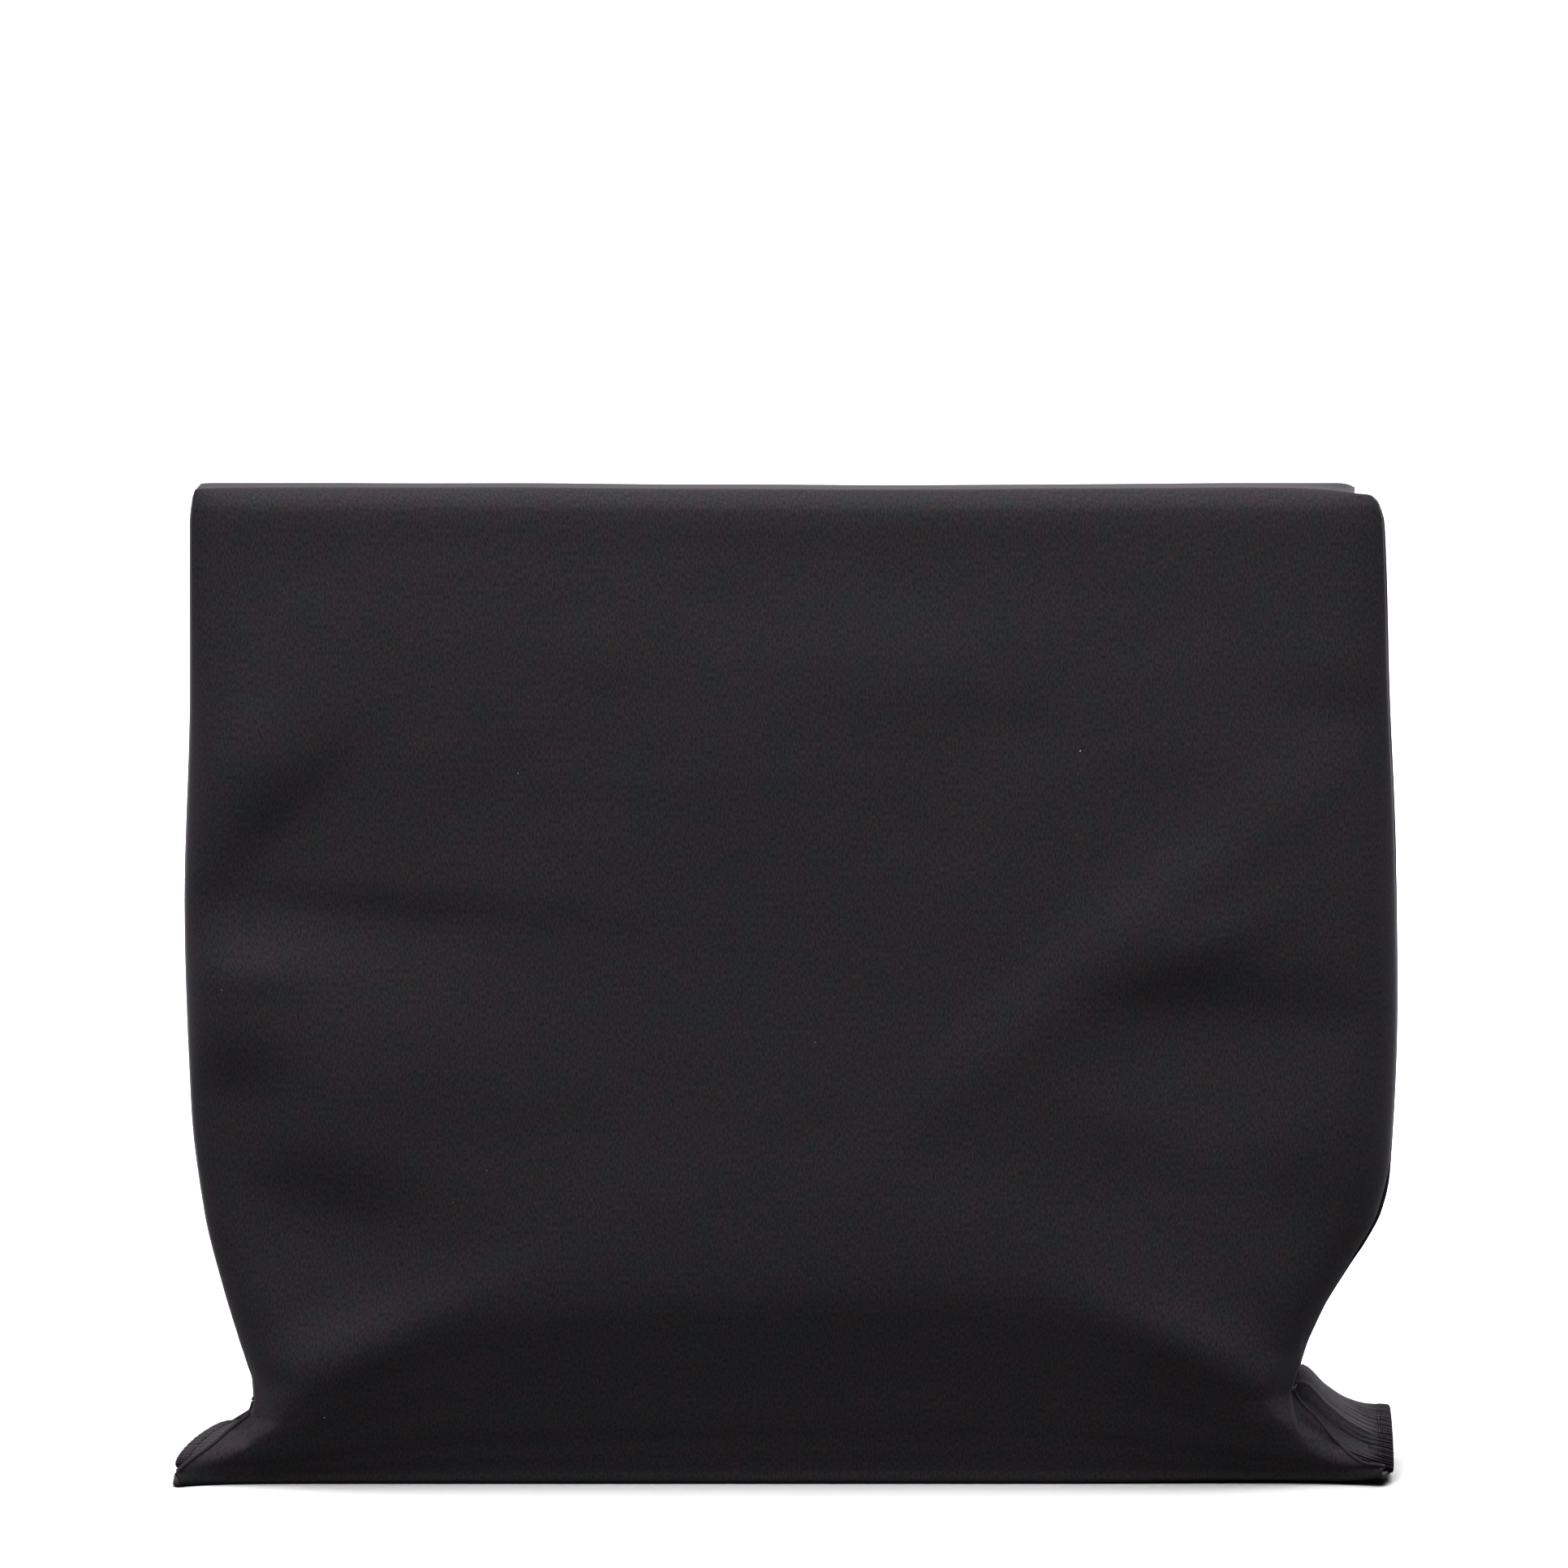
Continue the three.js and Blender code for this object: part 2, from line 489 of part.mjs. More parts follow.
function addZipPull(prefix, centreX, centreY, centreZ, direction, length, halfWidth) {
  const face = CHAIN.halfThickness + SLIDER.clearance + SLIDER.plate;
  const eyeOuter = PULL.eyeHalf + PULL.eyeSide;
  const tab = new THREE.Shape();
  tab.moveTo(-PULL.bar, -eyeOuter);
  tab.lineTo(PULL.eyeLength + 1.5, -eyeOuter);
  tab.lineTo(PULL.eyeLength + 3.5, -halfWidth);
  tab.lineTo(length - halfWidth, -halfWidth);
  tab.absarc(length - halfWidth, 0, halfWidth, -Math.PI / 2, Math.PI / 2, false);
  tab.lineTo(PULL.eyeLength + 3.5, halfWidth);
  tab.lineTo(PULL.eyeLength + 1.5, eyeOuter);
  tab.lineTo(-PULL.bar, eyeOuter);
  const eye = new THREE.Path();
  eye.moveTo(PULL.bar, -PULL.eyeHalf);
  eye.lineTo(PULL.bar, PULL.eyeHalf);
  eye.lineTo(PULL.eyeLength, PULL.eyeHalf);
  eye.lineTo(PULL.eyeLength, -PULL.eyeHalf);
  tab.holes.push(eye);
  const pull = new THREE.ExtrudeGeometry(tab, { depth: PULL.thickness, bevelEnabled: false, curveSegments: 8 });
  pull.rotateX(Math.PI / 2);
  if (direction < 0) pull.rotateY(Math.PI);
  pull.translate(centreX, centreY + face + (BRIDGE.gap + PULL.thickness) / 2, centreZ);
  addPiece(`${prefix}_zip_pull`, pull, blackMetal);
}

function addZip(prefix, centreY, centreZ, closedSide, pullLength, pullHalfWidth) {
  const sliderX = ZIP_MIDDLE_X + closedSide * SLIDER_END_X;
  addZipTapesAndCoils(prefix, centreY, centreZ);
  addZipStops(prefix, centreY, centreZ);
  addZipSlider(prefix, sliderX, centreY, centreZ, closedSide);
  addZipPull(prefix, sliderX, centreY, centreZ, -closedSide, pullLength, pullHalfWidth);
}

addOuterBag();
addInnerBag();
addSideSeams();
addBaseSeam();
addArmOpeningHems();
addSleeve("left", LEFT_SLEEVE);
addSleeve("right", RIGHT_SLEEVE);
addFlap();
addZip("outer", 19.15, OUTER_ZIP_Z, 1, 36, 3.4);
addZip("inner", 11.3, INNER_ZIP_Z, -1, 15, 2.9);

export default bag;
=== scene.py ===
"""The looks of a film changing bag that stands folded: its arm end lies on the ground as a base, the body
rises from it, and the zip end is folded over the top and hangs behind."""

import math

import bpy
import numpy as np
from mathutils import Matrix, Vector, noise


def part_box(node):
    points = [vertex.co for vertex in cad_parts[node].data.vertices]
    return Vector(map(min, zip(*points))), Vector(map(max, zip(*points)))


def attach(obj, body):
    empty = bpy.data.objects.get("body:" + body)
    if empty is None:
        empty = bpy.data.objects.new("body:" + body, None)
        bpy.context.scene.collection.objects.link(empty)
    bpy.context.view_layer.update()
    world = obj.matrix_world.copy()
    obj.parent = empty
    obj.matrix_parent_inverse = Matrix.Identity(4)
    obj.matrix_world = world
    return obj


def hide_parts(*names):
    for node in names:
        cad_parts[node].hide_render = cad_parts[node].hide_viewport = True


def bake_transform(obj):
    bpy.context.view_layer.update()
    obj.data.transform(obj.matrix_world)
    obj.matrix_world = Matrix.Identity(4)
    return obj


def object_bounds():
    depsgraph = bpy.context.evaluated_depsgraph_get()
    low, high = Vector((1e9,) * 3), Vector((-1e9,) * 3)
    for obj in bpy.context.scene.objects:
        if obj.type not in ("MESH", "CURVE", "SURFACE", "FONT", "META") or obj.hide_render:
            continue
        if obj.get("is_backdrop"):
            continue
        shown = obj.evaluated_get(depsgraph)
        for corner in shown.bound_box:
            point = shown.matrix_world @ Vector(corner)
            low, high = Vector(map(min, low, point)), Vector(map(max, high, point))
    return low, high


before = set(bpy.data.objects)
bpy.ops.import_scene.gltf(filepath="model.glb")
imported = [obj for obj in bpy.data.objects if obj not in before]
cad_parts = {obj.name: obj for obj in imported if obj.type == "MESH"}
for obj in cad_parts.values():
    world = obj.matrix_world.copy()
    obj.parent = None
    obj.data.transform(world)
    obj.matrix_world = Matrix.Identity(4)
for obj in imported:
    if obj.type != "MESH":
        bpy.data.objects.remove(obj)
CAD_LOW, CAD_HIGH = (np.array(corner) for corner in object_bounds())
scene = bpy.context.scene

# -------- sizes, in millimetres
# In the tables x is to the right, y to the back and z up. An edge is [z, x] and a path is [y, z].
MM = 0.001
DRAWN_LOW = np.array([-340.0, -55.0, 0.0])  # the box that the tables are drawn in
DRAWN_HIGH = np.array([340.0, 55.0, 555.0])
CLOTH_THICK = 0.9
LINING_THICK = 0.6

LEFT_EDGE = [
    [0, -338], [2, -339.5], [5, -339.5], [9, -336], [14, -329.5], [20, -320], [26, -311.5],
    [32, -303.5], [38, -296.8], [46, -294.6], [54, -295.3], [76, -302], [110, -312], [150, -321.5],
    [210, -328.5], [320, -331.6], [440, -328], [535, -327.5], [549, -326], [555, -324],
]
RIGHT_EDGE = [
    [0, 336], [3, 338.5], [6, 337], [8, 331], [10, 323.5], [16.5, 313.8], [26.5, 304], [37, 295.4],
    [44, 288], [52, 283], [71, 289], [97, 300], [124, 315.4], [151, 329.8], [185, 336.6], [265, 339.5],
    [350, 338], [440, 334], [535, 330.5], [546, 328], [552, 322], [555, 314],
]
# How far out the cloth reaches at the ground, as [y, x]. Above CORNER_TOP_Z the edges alone hold.
LEFT_CORNER = [
    [-48.5, -335], [-46, -338.5], [-42, -339.5], [-20, -337.5], [0, -334.5], [20, -331], [48, -325],
    [55, -320],
]
RIGHT_CORNER = [
    [-48.5, 331], [-46, 333], [-40, 335], [-25, 337], [-8, 338.5], [10, 338.5], [30, 337], [48, 333],
    [55, 330],
]
CORNER_TOP_Z = 9.0
CORNER_BLEND = 4.0  # the height over which the corners turn into the edges
# The back cloth is cut in over the left corner and shows just outside the front cloth at the right hip.
BACK_LEFT_EDGE = [
    [0, -324], [7, -320], [10, -318], [21, -309], [37, -296], [51.5, -291.5], [60, -291.5],
    [67, -292.5], [76, -295.5], [85, -299.5], [97, -304.5], [110, -309.5], [130, -316], [150, -321.2],
    [210, -328.3], [320, -331.4], *LEFT_EDGE[-4:],
]
BACK_RIGHT_EDGE = [
    [0, 338], [10, 329], [21, 318], [28, 311], [37, 300], [44, 294], [51.5, 287.5], [60, 284.5],
    [71, 287.5], [97, 300], [120, 314], [134, 323], [151, 331.5], [172, 336], [265, 339.7],
    [350, 338.4], [440, 334.4], [535, 331], *RIGHT_EDGE[-3:],
]
SEAM_PLANE = [[0, -24], [555, -11]]  # where the two cloths meet at the sides, as [z, y]
SEAM_TOP_Z = (554.0, 551.0)  # where the left and the right side seam end
SEAM_HALF_GAP = 0.1
# The sides are open below one height, for the arms, and sewn above the other. "drop" is how far the back
# cloth sinks over the sleeve, as a share of its height. Beside each neck the front cloth folds over itself:
# "step" is how far it steps back along the line "fold", as [z, x].
NECKS = {
    "left": {
        "open": 40,
        "sewn": 62,
        "drop": 0.35,
        "step": 5.5,
        "fold": [[20, -299], [28, -295.6], [36, -294.6], [46, -294.4], [70, -297]],
    },
    "right": {
        "open": 56,
        "sewn": 80,
        "drop": 0.0,
        "step": 7.0,
        "fold": [[26, 288], [35, 283.5], [43, 281.6], [49, 281], [56, 282.6], [66, 286.5]],
    },
}
# The front cloth from the seam behind the base, under and up the front, over the top fold to the outer zip.
FRONT_PATH = [
    [54.8, 6], [53, 1.8], [48, 0], [20, 0], [-20, 0], [-44.8, 0], [-47.6, 0.5], [-48.4, 2.4],
    [-48.2, 6], [-46.5, 14], [-43.5, 30], [-43.5, 52], [-46, 78], [-50.5, 110], [-54, 150], [-55, 210],
    [-50.5, 300], [-43, 385], [-34.5, 460], [-26, 520], [-21.5, 544], [-16, 551.5], [-9, 555], [5, 555],
    [13, 552], [19, 544.5], [21, 530], [21, 486],
]
BACK_PATH = [
    [-4.6, 551.4], [-4.6, 530], [-5.2, 480], [-6.3, 400], [-7.4, 300], [-7, 200], [-5.6, 150],
    [-4.5, 120], [-1, 85], [5, 67], [17, 60], [31, 51.5], [44, 37], [51.5, 21], [55, 10], [54.9, 6.8],
]
FLAP_LEFT, FLAP_RIGHT, FLAP_SEAM_Y = -322.0, 315.0, 9.3
FLAP_ROUNDING = 10.0
FLAP_LOWER_PATH = [
    [21, 470.5], [21, 461.5], [18, 456], [10, 454], [1, 454], [-2.2, 457], [-2.4, 470], [-2.4, 500],
    [-2.4, 530], [-2.4, 552.4],
]
INNER_FLAP_UPPER_PATH = [[1.5, 549], [8, 548], [12.2, 543], [12.8, 530], [12.8, 512.8]]
INNER_FLAP_LOWER_PATH = [
    [12.8, 497.2], [12.8, 476], [9.8, 469], [5, 468], [0.6, 469.5], [0, 480], [0, 510], [0, 546.5],
]

# -------- curves and meshes
def placed(points):
    """Points of the drawn box, in millimetres, as points of the CAD frame, in metres."""
    share = (np.asarray(points, float) - DRAWN_LOW) / (DRAWN_HIGH - DRAWN_LOW)
    return CAD_LOW + share * (CAD_HIGH - CAD_LOW)


def ease(start, end, value):
    """0 at start, 1 at end, smooth between; start may be the larger."""
    share = np.clip((np.asarray(value, float) - start) / (end - start), 0, 1)
    return share * share * (3 - 2 * share)


def hump(value, centre, reach):
    """1 at centre, falling smoothly to nothing at about twice reach."""
    return np.exp(-(((np.asarray(value, float) - centre) / reach) ** 2))


def table(pairs):
    """A function through [key, value] pairs, smooth and with no overshoot."""
    keys, values = np.array(pairs, float).T
    gaps = np.diff(keys)
    slopes = np.diff(values) / gaps
    before, after = slopes[:-1], slopes[1:]
    bends = np.where(before * after > 0, 2 * before * after / (before + after + 1e-12), 0.0)
    bends = np.r_[slopes[0], bends, slopes[-1]]

    def read(key):
        key = np.clip(key, keys[0], keys[-1])
        i = np.clip(np.searchsorted(keys, key, side="right") - 1, 0, len(gaps) - 1)
        t = (key - keys[i]) / gaps[i]
        rise = 3 * t**2 - 2 * t**3
        return (
            values[i] * (1 - rise)
            + values[i + 1] * rise
            + gaps[i] * ((t**3 - 2 * t**2 + t) * bends[i] + (t**3 - t**2) * bends[i + 1])
        )

    return read


PATH_SAMPLES = 4000


def path(points, spacing):
    """Points [y, z] along a smooth line through the given ones; spacing(y, z) is the gap between rows."""
    points = np.array(points, float)
    run = np.r_[0, np.cumsum(np.linalg.norm(np.diff(points, axis=0), axis=1))]
    read_y, read_z = table(np.c_[run, points[:, 0]]), table(np.c_[run, points[:, 1]])
    fine = np.linspace(0, run[-1], PATH_SAMPLES)
    rows_so_far = np.cumsum(1 / spacing(read_y(fine), read_z(fine))) * run[-1] / PATH_SAMPLES
    rows_so_far -= rows_so_far[0]
    count = max(3, int(round(rows_so_far[-1])))
    at = np.interp(np.linspace(0, rows_so_far[-1], count), rows_so_far, fine)
    return np.c_[read_y(at), read_z(at)]


def across_columns(edge_share, edge_step, middle_step):
    """Columns from -1 to 1 with a fine step within edge_share of each side."""
    inner = 1 - edge_share
    side = np.linspace(inner, 1, int(edge_share / edge_step) + 1)
    middle = np.linspace(-inner, inner, int(2 * inner / middle_step) + 1)
    return np.r_[-side[::-1], middle[1:-1], side]


def rounded_share(across):
    """1 over the middle of the bag, falling in a tight round to 0 at across = -1 and 1."""
    return np.sqrt(np.maximum(0, 1 - np.abs(across) ** 16))


def quarter_round(distance, radius):
    """0 at an edge and 1 from radius inwards, along a quarter circle."""
    return np.sqrt(np.maximum(0, 1 - (1 - np.clip(distance / radius, 0, 1)) ** 2))


def wavy(points, size, seed):
    """Smooth noise from about -1 to 1 over an array of points; size is its grain in millimetres."""
    flat = points.reshape(-1, 3) / size
    values = [noise.noise(Vector((p[0] + seed, p[1] - 3.1 * seed, p[2] + 7.7 * seed))) for p in flat]
    return np.array(values).reshape(points.shape[:-1])


def cloth_lengths(points):
    """How far each grid point is across and along its cloth, in metres, from the middle of the first row."""
    middle = points.shape[1] // 2
    along = np.r_[0, np.cumsum(np.linalg.norm(np.diff(points[:, middle], axis=0), axis=1))]
    steps = np.linalg.norm(np.diff(points, axis=1), axis=2)
    across = np.concatenate([np.zeros((len(points), 1)), np.cumsum(steps, axis=1)], axis=1)
    across -= across[:, middle : middle + 1]
    along = np.repeat(along[:, None], points.shape[1], 1)
    return np.stack([across, along, np.zeros_like(across)], 2)


def mesh_piece(name, vertices, faces, lengths=None):
    """A new object from points in metres; lengths are what its weave is drawn by."""
    mesh = bpy.data.meshes.new(name)
    mesh.from_pydata(vertices.tolist(), [], faces)
    mesh.update()
    mesh.shade_smooth()
    if lengths is not None:
        attribute = mesh.attributes.new("cloth", "FLOAT_VECTOR", "POINT")
        attribute.data.foreach_set("vector", lengths.astype(np.float32).ravel())
    piece = bpy.data.objects.new(name, mesh)
    scene.collection.objects.link(piece)
    return piece


def grid_faces(rows, columns, closed=False, start=0):
    """Quads over a grid of points; closed joins its last column to its first."""
    spans = columns if closed else columns - 1
    row, column = np.meshgrid(np.arange(rows - 1), np.arange(spans), indexing="ij")
    following = (column + 1) % columns
    near, far = row * columns, (row + 1) * columns
    quads = np.stack([near + column, near + following, far + following, far + column], -1)
    return (quads.reshape(-1, 4) + start).tolist()


def cloth_piece(name, points, outward, thickness, closed=False):
    """A sheet through a grid of points in millimetres; outward is the way its face looks in the middle."""
    spots = placed(points)
    rows, columns = points.shape[:2]
    faces = grid_faces(rows, columns, closed)
    middle = rows // 2, columns // 2
    along = spots[middle[0] + 1, middle[1]] - spots[middle]
    across = spots[middle[0], middle[1] + 1] - spots[middle]
    if np.dot(np.cross(across, along), outward) < 0:
        faces = [face[::-1] for face in faces]
    piece = mesh_piece(name, spots.reshape(-1, 3), faces, cloth_lengths(spots).reshape(-1, 3))
    solid = piece.modifiers.new("thickness", "SOLIDIFY")
    solid.thickness, solid.offset = thickness * MM, -1
    return piece


def plain_strip(name, spots, thickness, offset):
    """A flat strip through a grid of points, all in metres."""
    rows, columns = spots.shape[:2]
    lengths = cloth_lengths(spots).reshape(-1, 3)
    piece = mesh_piece(name, spots.reshape(-1, 3), grid_faces(rows, columns), lengths)
    solid = piece.modifiers.new("thickness", "SOLIDIFY")
    solid.thickness, solid.offset = thickness, offset
    return piece


RING_UP = np.array([0.13, 0.37, 0.92])  # a direction that no tube here runs along
TUBE_END = 0.45  # a tube's last rings, as a share of its radius


def tube_rings(line, radius, sides):
    """Rings of points round a line, in its own units."""
    line = np.asarray(line, float)
    ahead = np.gradient(line, axis=0)
    ahead /= np.linalg.norm(ahead, axis=1, keepdims=True)
    first = np.cross(ahead, RING_UP)
    first /= np.linalg.norm(first, axis=1, keepdims=True)
    second = np.cross(ahead, first)
    angles = (np.arange(sides) * 2 * math.pi / sides)[None, :, None]
    ring = first[:, None] * np.cos(angles) + second[:, None] * np.sin(angles)
    return line[:, None] + radius * ring


def tubes_piece(name, lines, radius, sides):
    """One mesh of closed tubes along several lines, in metres, each rounded off at its ends."""
    vertices, faces, start = [], [], 0
    for line in lines:
        rings = tube_rings(line, radius, sides)
        for end in (0, -1):
            rings[end] = line[end] + (rings[end] - line[end]) * TUBE_END
        count = len(line)
        vertices.append(rings.reshape(-1, 3))
        faces += grid_faces(count, sides, True, start)
        faces.append(list(range(start + sides - 1, start - 1, -1)))
        faces.append([start + (count - 1) * sides + i for i in range(sides)])
        start += count * sides
    return mesh_piece(name, np.concatenate(vertices), faces)


# -------- materials
class Nodes:
    """A material's shader nodes."""

    def __init__(self, name):
        self.material = bpy.data.materials.new(name)
        self.material.use_nodes = True
        self.tree = self.material.node_tree
        self.shader = self.tree.nodes["Principled BSDF"]

    def add(self, kind, inputs=(), **settings):
        node = self.tree.nodes.new(kind)
        for key, value in settings.items():
            setattr(node, key, value)
        for key, value in dict(inputs).items():
            if isinstance(value, bpy.types.NodeSocket):
                self.tree.links.new(value, node.inputs[key])
            else:
                node.inputs[key].default_value = value
        return node

    def texture(self, kind, where, scale, **settings):
        inputs = {"Vector": where, "Scale": scale, **settings}
        return self.add(f"ShaderNodeTex{kind}", inputs).outputs

    def grey(self, value):
        return self.add("ShaderNodeCombineColor", {0: value, 1: value, 2: value}).outputs[0]

    def channel(self, colour, index):
        return self.add("ShaderNodeSeparateColor", {0: colour}).outputs[index]

    def bump(self, strength, distance, height):
        node = self.add("ShaderNodeBump", {"Strength": strength, "Distance": distance, "Height": height})
        self.link(node.outputs[0], "Normal")

    def math(self, operation, a, b=0.0):
        return self.add("ShaderNodeMath", {0: a, 1: b}, operation=operation).outputs[0]

    def mix(self, factor, a, b, blend_type="MIX"):
        inputs = {0: factor, 6: a, 7: b}
        return self.add("ShaderNodeMix", inputs, data_type="RGBA", blend_type=blend_type).outputs[2]

    def range(self, value, low, high, to_low=0.0, to_high=1.0):
        node = self.add("ShaderNodeMapRange", {0: value, 1: low, 2: high, 3: to_low, 4: to_high})
        return node.outputs[0]

    def link(self, output, socket):
        self.tree.links.new(output, self.shader.inputs[socket])

    def set(self, socket, level):
        self.shader.inputs[socket].default_value = level

    def place(self):
        return self.add("ShaderNodeTexCoord").outputs["Object"]

    def waves(self, length, pitch_mm):
        """A sine wave along a length in metres, one crest to a pitch."""
        return self.math("SINE", self.math("MULTIPLY", length, 2 * math.pi / (pitch_mm * MM)))


YARN_GRAIN = (980.0, 420.0, 1.0)  # slubs to the metre across the cloth and along it
LINT_COLOUR = (0.3, 0.29, 0.29, 1)
SHEEN_TINT = (0.62, 0.6, 0.66, 1)


def fabric(name, warm, cool, thread_mm, sheen, lint, roughness):
    """Woven cloth: crossing threads with painted light and shade on them, heathered yarn, a mottle of two
    dyes, and specks of lint.
    """
    n = Nodes(name)
    cloth = n.add("ShaderNodeAttribute", attribute_name="cloth").outputs["Vector"]
    place = n.place()
    parts = n.add("ShaderNodeSeparateXYZ", {0: cloth}).outputs
    weave = n.math("MULTIPLY", n.waves(parts[0], thread_mm), n.waves(parts[1], thread_mm))
    yarn_place = n.add("ShaderNodeVectorMath", {0: cloth, 1: YARN_GRAIN}, operation="MULTIPLY").outputs[0]
    yarn = n.texture("Noise", yarn_place, 1.0, Detail=3.0)["Fac"]
    # the two dyes, and a few rusty threads
    dye = n.texture("Noise", place, 80.0, Detail=4.0)["Fac"]
    broad = n.texture("Noise", place, 9.0, Detail=3.0)["Fac"]
    tint = n.range(n.math("ADD", n.math("MULTIPLY", dye, 0.8), n.math("MULTIPLY", broad, 0.2)), 0.39, 0.61)
    rust = n.texture("Noise", place, 170.0, Detail=2.0)["Color"]
    rusty = n.range(n.channel(rust, 1), 0.58, 0.72, 0.0, 0.8)
    base = n.mix(tint, (*cool, 1), (*warm, 1))
    base = n.mix(rusty, base, (warm[0] * 1.1, warm[1] * 1.04, warm[2] * 0.84, 1))
    # the yarn's random tone, with painted light on the weave's crests and painted shade between its threads
    light = n.math("ADD", n.range(yarn, 0.3, 0.7, 0.57, 1.43), n.math("MULTIPLY", weave, 0.06))
    base = n.mix(1.0, base, n.grey(light), "MULTIPLY")
    # specks of lint, in one cell of fifteen or so
    specks = n.texture("Voronoi", place, 55.0)
    near = n.range(specks["Distance"], 0.028, 0.012)
    chosen = n.range(n.channel(specks["Color"], 0), 0.93, 0.95)
    speck = n.math("MULTIPLY", n.math("MULTIPLY", near, chosen), lint)
    n.link(n.mix(speck, base, LINT_COLOUR), "Base Color")
    n.link(n.range(yarn, 0.2, 0.8, roughness - 0.05, roughness + 0.05), "Roughness")
    n.bump(0.35, 0.00012, n.math("ADD", n.math("MULTIPLY", weave, 0.5), yarn))
    n.set("Sheen Weight", sheen)
    n.set("Sheen Roughness", 0.38)
    n.set("Sheen Tint", SHEEN_TINT)
    n.set("Specular IOR Level", 0.3)
    return n.material


CROSS_THREAD_MM = 0.6
RIBBED_ROUGHNESS = (0.74, 0.86)


def ribbed(name, colour, rib_mm, axis):
    """Woven elastic, binding or tape: ribs along one axis of the strip, broken by a cross thread, with
    painted shade in their hollows and painted light on their crests.
    """
    n = Nodes(name)
    cloth = n.add("ShaderNodeAttribute", attribute_name="cloth").outputs["Vector"]
    parts = n.add("ShaderNodeSeparateXYZ", {0: cloth}).outputs
    cross = n.math("MULTIPLY", n.waves(parts[1 - axis], CROSS_THREAD_MM), 0.4)
    height = n.math("ADD", n.waves(parts[axis], rib_mm), cross)
    place = n.place()
    fuzz = n.texture("Noise", place, 900.0, Detail=2.0)["Fac"]
    # painted shade in the rib hollows and painted light on the crests, times a random fuzzy tone
    shade = n.math("MULTIPLY", n.range(height, -1.4, 1.4, 0.7, 1.25), n.range(fuzz, 0.3, 0.7, 0.85, 1.15))
    n.link(n.mix(1.0, (*colour, 1), n.grey(shade), "MULTIPLY"), "Base Color")
    n.link(n.range(fuzz, 0.3, 0.7, *RIBBED_ROUGHNESS), "Roughness")
    n.bump(0.5, 0.0002, height)
    n.set("Sheen Weight", 0.15)
    return n.material


RUBBED_GAIN = 4.5  # how much lighter a rubbed edge is


def smooth_black(name, colour, roughness, metallic, grain):
    """Moulded nylon or enamelled metal: fine mottle in its gloss, with rubbed edges."""
    n = Nodes(name)
    place = n.place()
    mottle = n.texture("Noise", place, grain, Detail=4.0)["Fac"]
    worn = n.add("ShaderNodeNewGeometry").outputs["Pointiness"]
    edge = n.math("MULTIPLY", n.range(worn, 0.53, 0.62), n.range(mottle, 0.4, 0.65))
    rubbed = [RUBBED_GAIN * level for level in colour]
    n.link(n.mix(edge, (*colour, 1), (*rubbed, 1)), "Base Color")
    n.link(n.range(mottle, 0.3, 0.7, roughness - 0.08, roughness + 0.1), "Roughness")
    n.bump(0.06, 0.00005, mottle)
    n.set("Metallic", metallic)
    return n.material


OUTER = fabric("outer_cloth", (0.0256, 0.0204, 0.0242), (0.0208, 0.0222, 0.0242), 0.5, 0.16, 1.0, 0.92)
LINING = fabric("inner_cloth", (0.021, 0.0195, 0.0205), (0.019, 0.020, 0.0215), 0.4, 0.12, 0.3, 0.8)
ELASTIC = ribbed("elastic", (0.036, 0.036, 0.038), 1.1, 1)
BINDING = ribbed("seam_binding", (0.034, 0.034, 0.036), 0.9, 0)
TAPE = ribbed("zip_tape", (0.032, 0.032, 0.034), 0.8, 0)
COIL = smooth_black("zip_coil", (0.036, 0.036, 0.038), 0.38, 0.0, 700.0)
METAL = smooth_black("zip_metal", (0.05, 0.05, 0.053), 0.36, 0.6, 1500.0)
THREAD = smooth_black("sewing_thread", (0.062, 0.06, 0.063), 0.7, 0.0, 2500.0)
# near-black tubes of painted shade, for the shadowed insides of needle holes
NEEDLE_HOLE_SHADE = smooth_black("needle_hole_shade", (0.004, 0.004, 0.004), 0.95, 0.0, 2500.0)


def wear(piece, material, body=None, stands_for=()):
    """A piece's material, the body that it rides on and the CAD nodes that it stands for."""
    piece.data.materials.append(material)
    if body:
        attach(piece, body)
    if stands_for:
        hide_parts(*stands_for)


# -------- the body's shape
FRONT_EDGES = left_edge, right_edge = table(LEFT_EDGE), table(RIGHT_EDGE)
BACK_EDGES = table(BACK_LEFT_EDGE), table(BACK_RIGHT_EDGE)
seam_plane = table(SEAM_PLANE)
SIDES = (("left", -1, left_edge), ("right", 1, right_edge))

SOFT_BELOW = 2.3  # a dent runs out this much further below its middle than above it
# The front's soft dents and swellings: x, z, half length, half width, angle in degrees, depth inwards.
FRONT_FOLDS = [
    (-284, 352, 72, 23, 47, 8.5),
    (-240, 320, 105, 15, -4, 3.8),
    (-312, 216, 36, 28, 0, 13.0),
    (-254, 152, 56, 29, -14, 9.5),
    (250, 262, 76, 26, -6, 7.6),
    (310, 428, 40, 20, -8, 3.4),
    (190, 172, 50, 24, -12, 3.4),
    (120, 420, 80, 24, -3, 1.6),
    (-150, 395, 90, 26, 35, 1.6),
    (300, 150, 30, 40, 70, 2.0),
    (195, 312, 135, 24, 41, -4.2),
    (232, 306, 50, 16, 30, -3.2),
    (-305, 290, 40, 14, 0, -3.0),
    (-300, 410, 34, 26, 50, -2.6),
    (-225, 88, 84, 15, 22, -2.6),
    (236, 80, 62, 14, -24, -2.6),
    (20, 165, 190, 40, 0, -1.6),
    (-60, 470, 220, 40, -4, -1.2),
    (-40, 300, 150, 60, 15, 1.4),
]
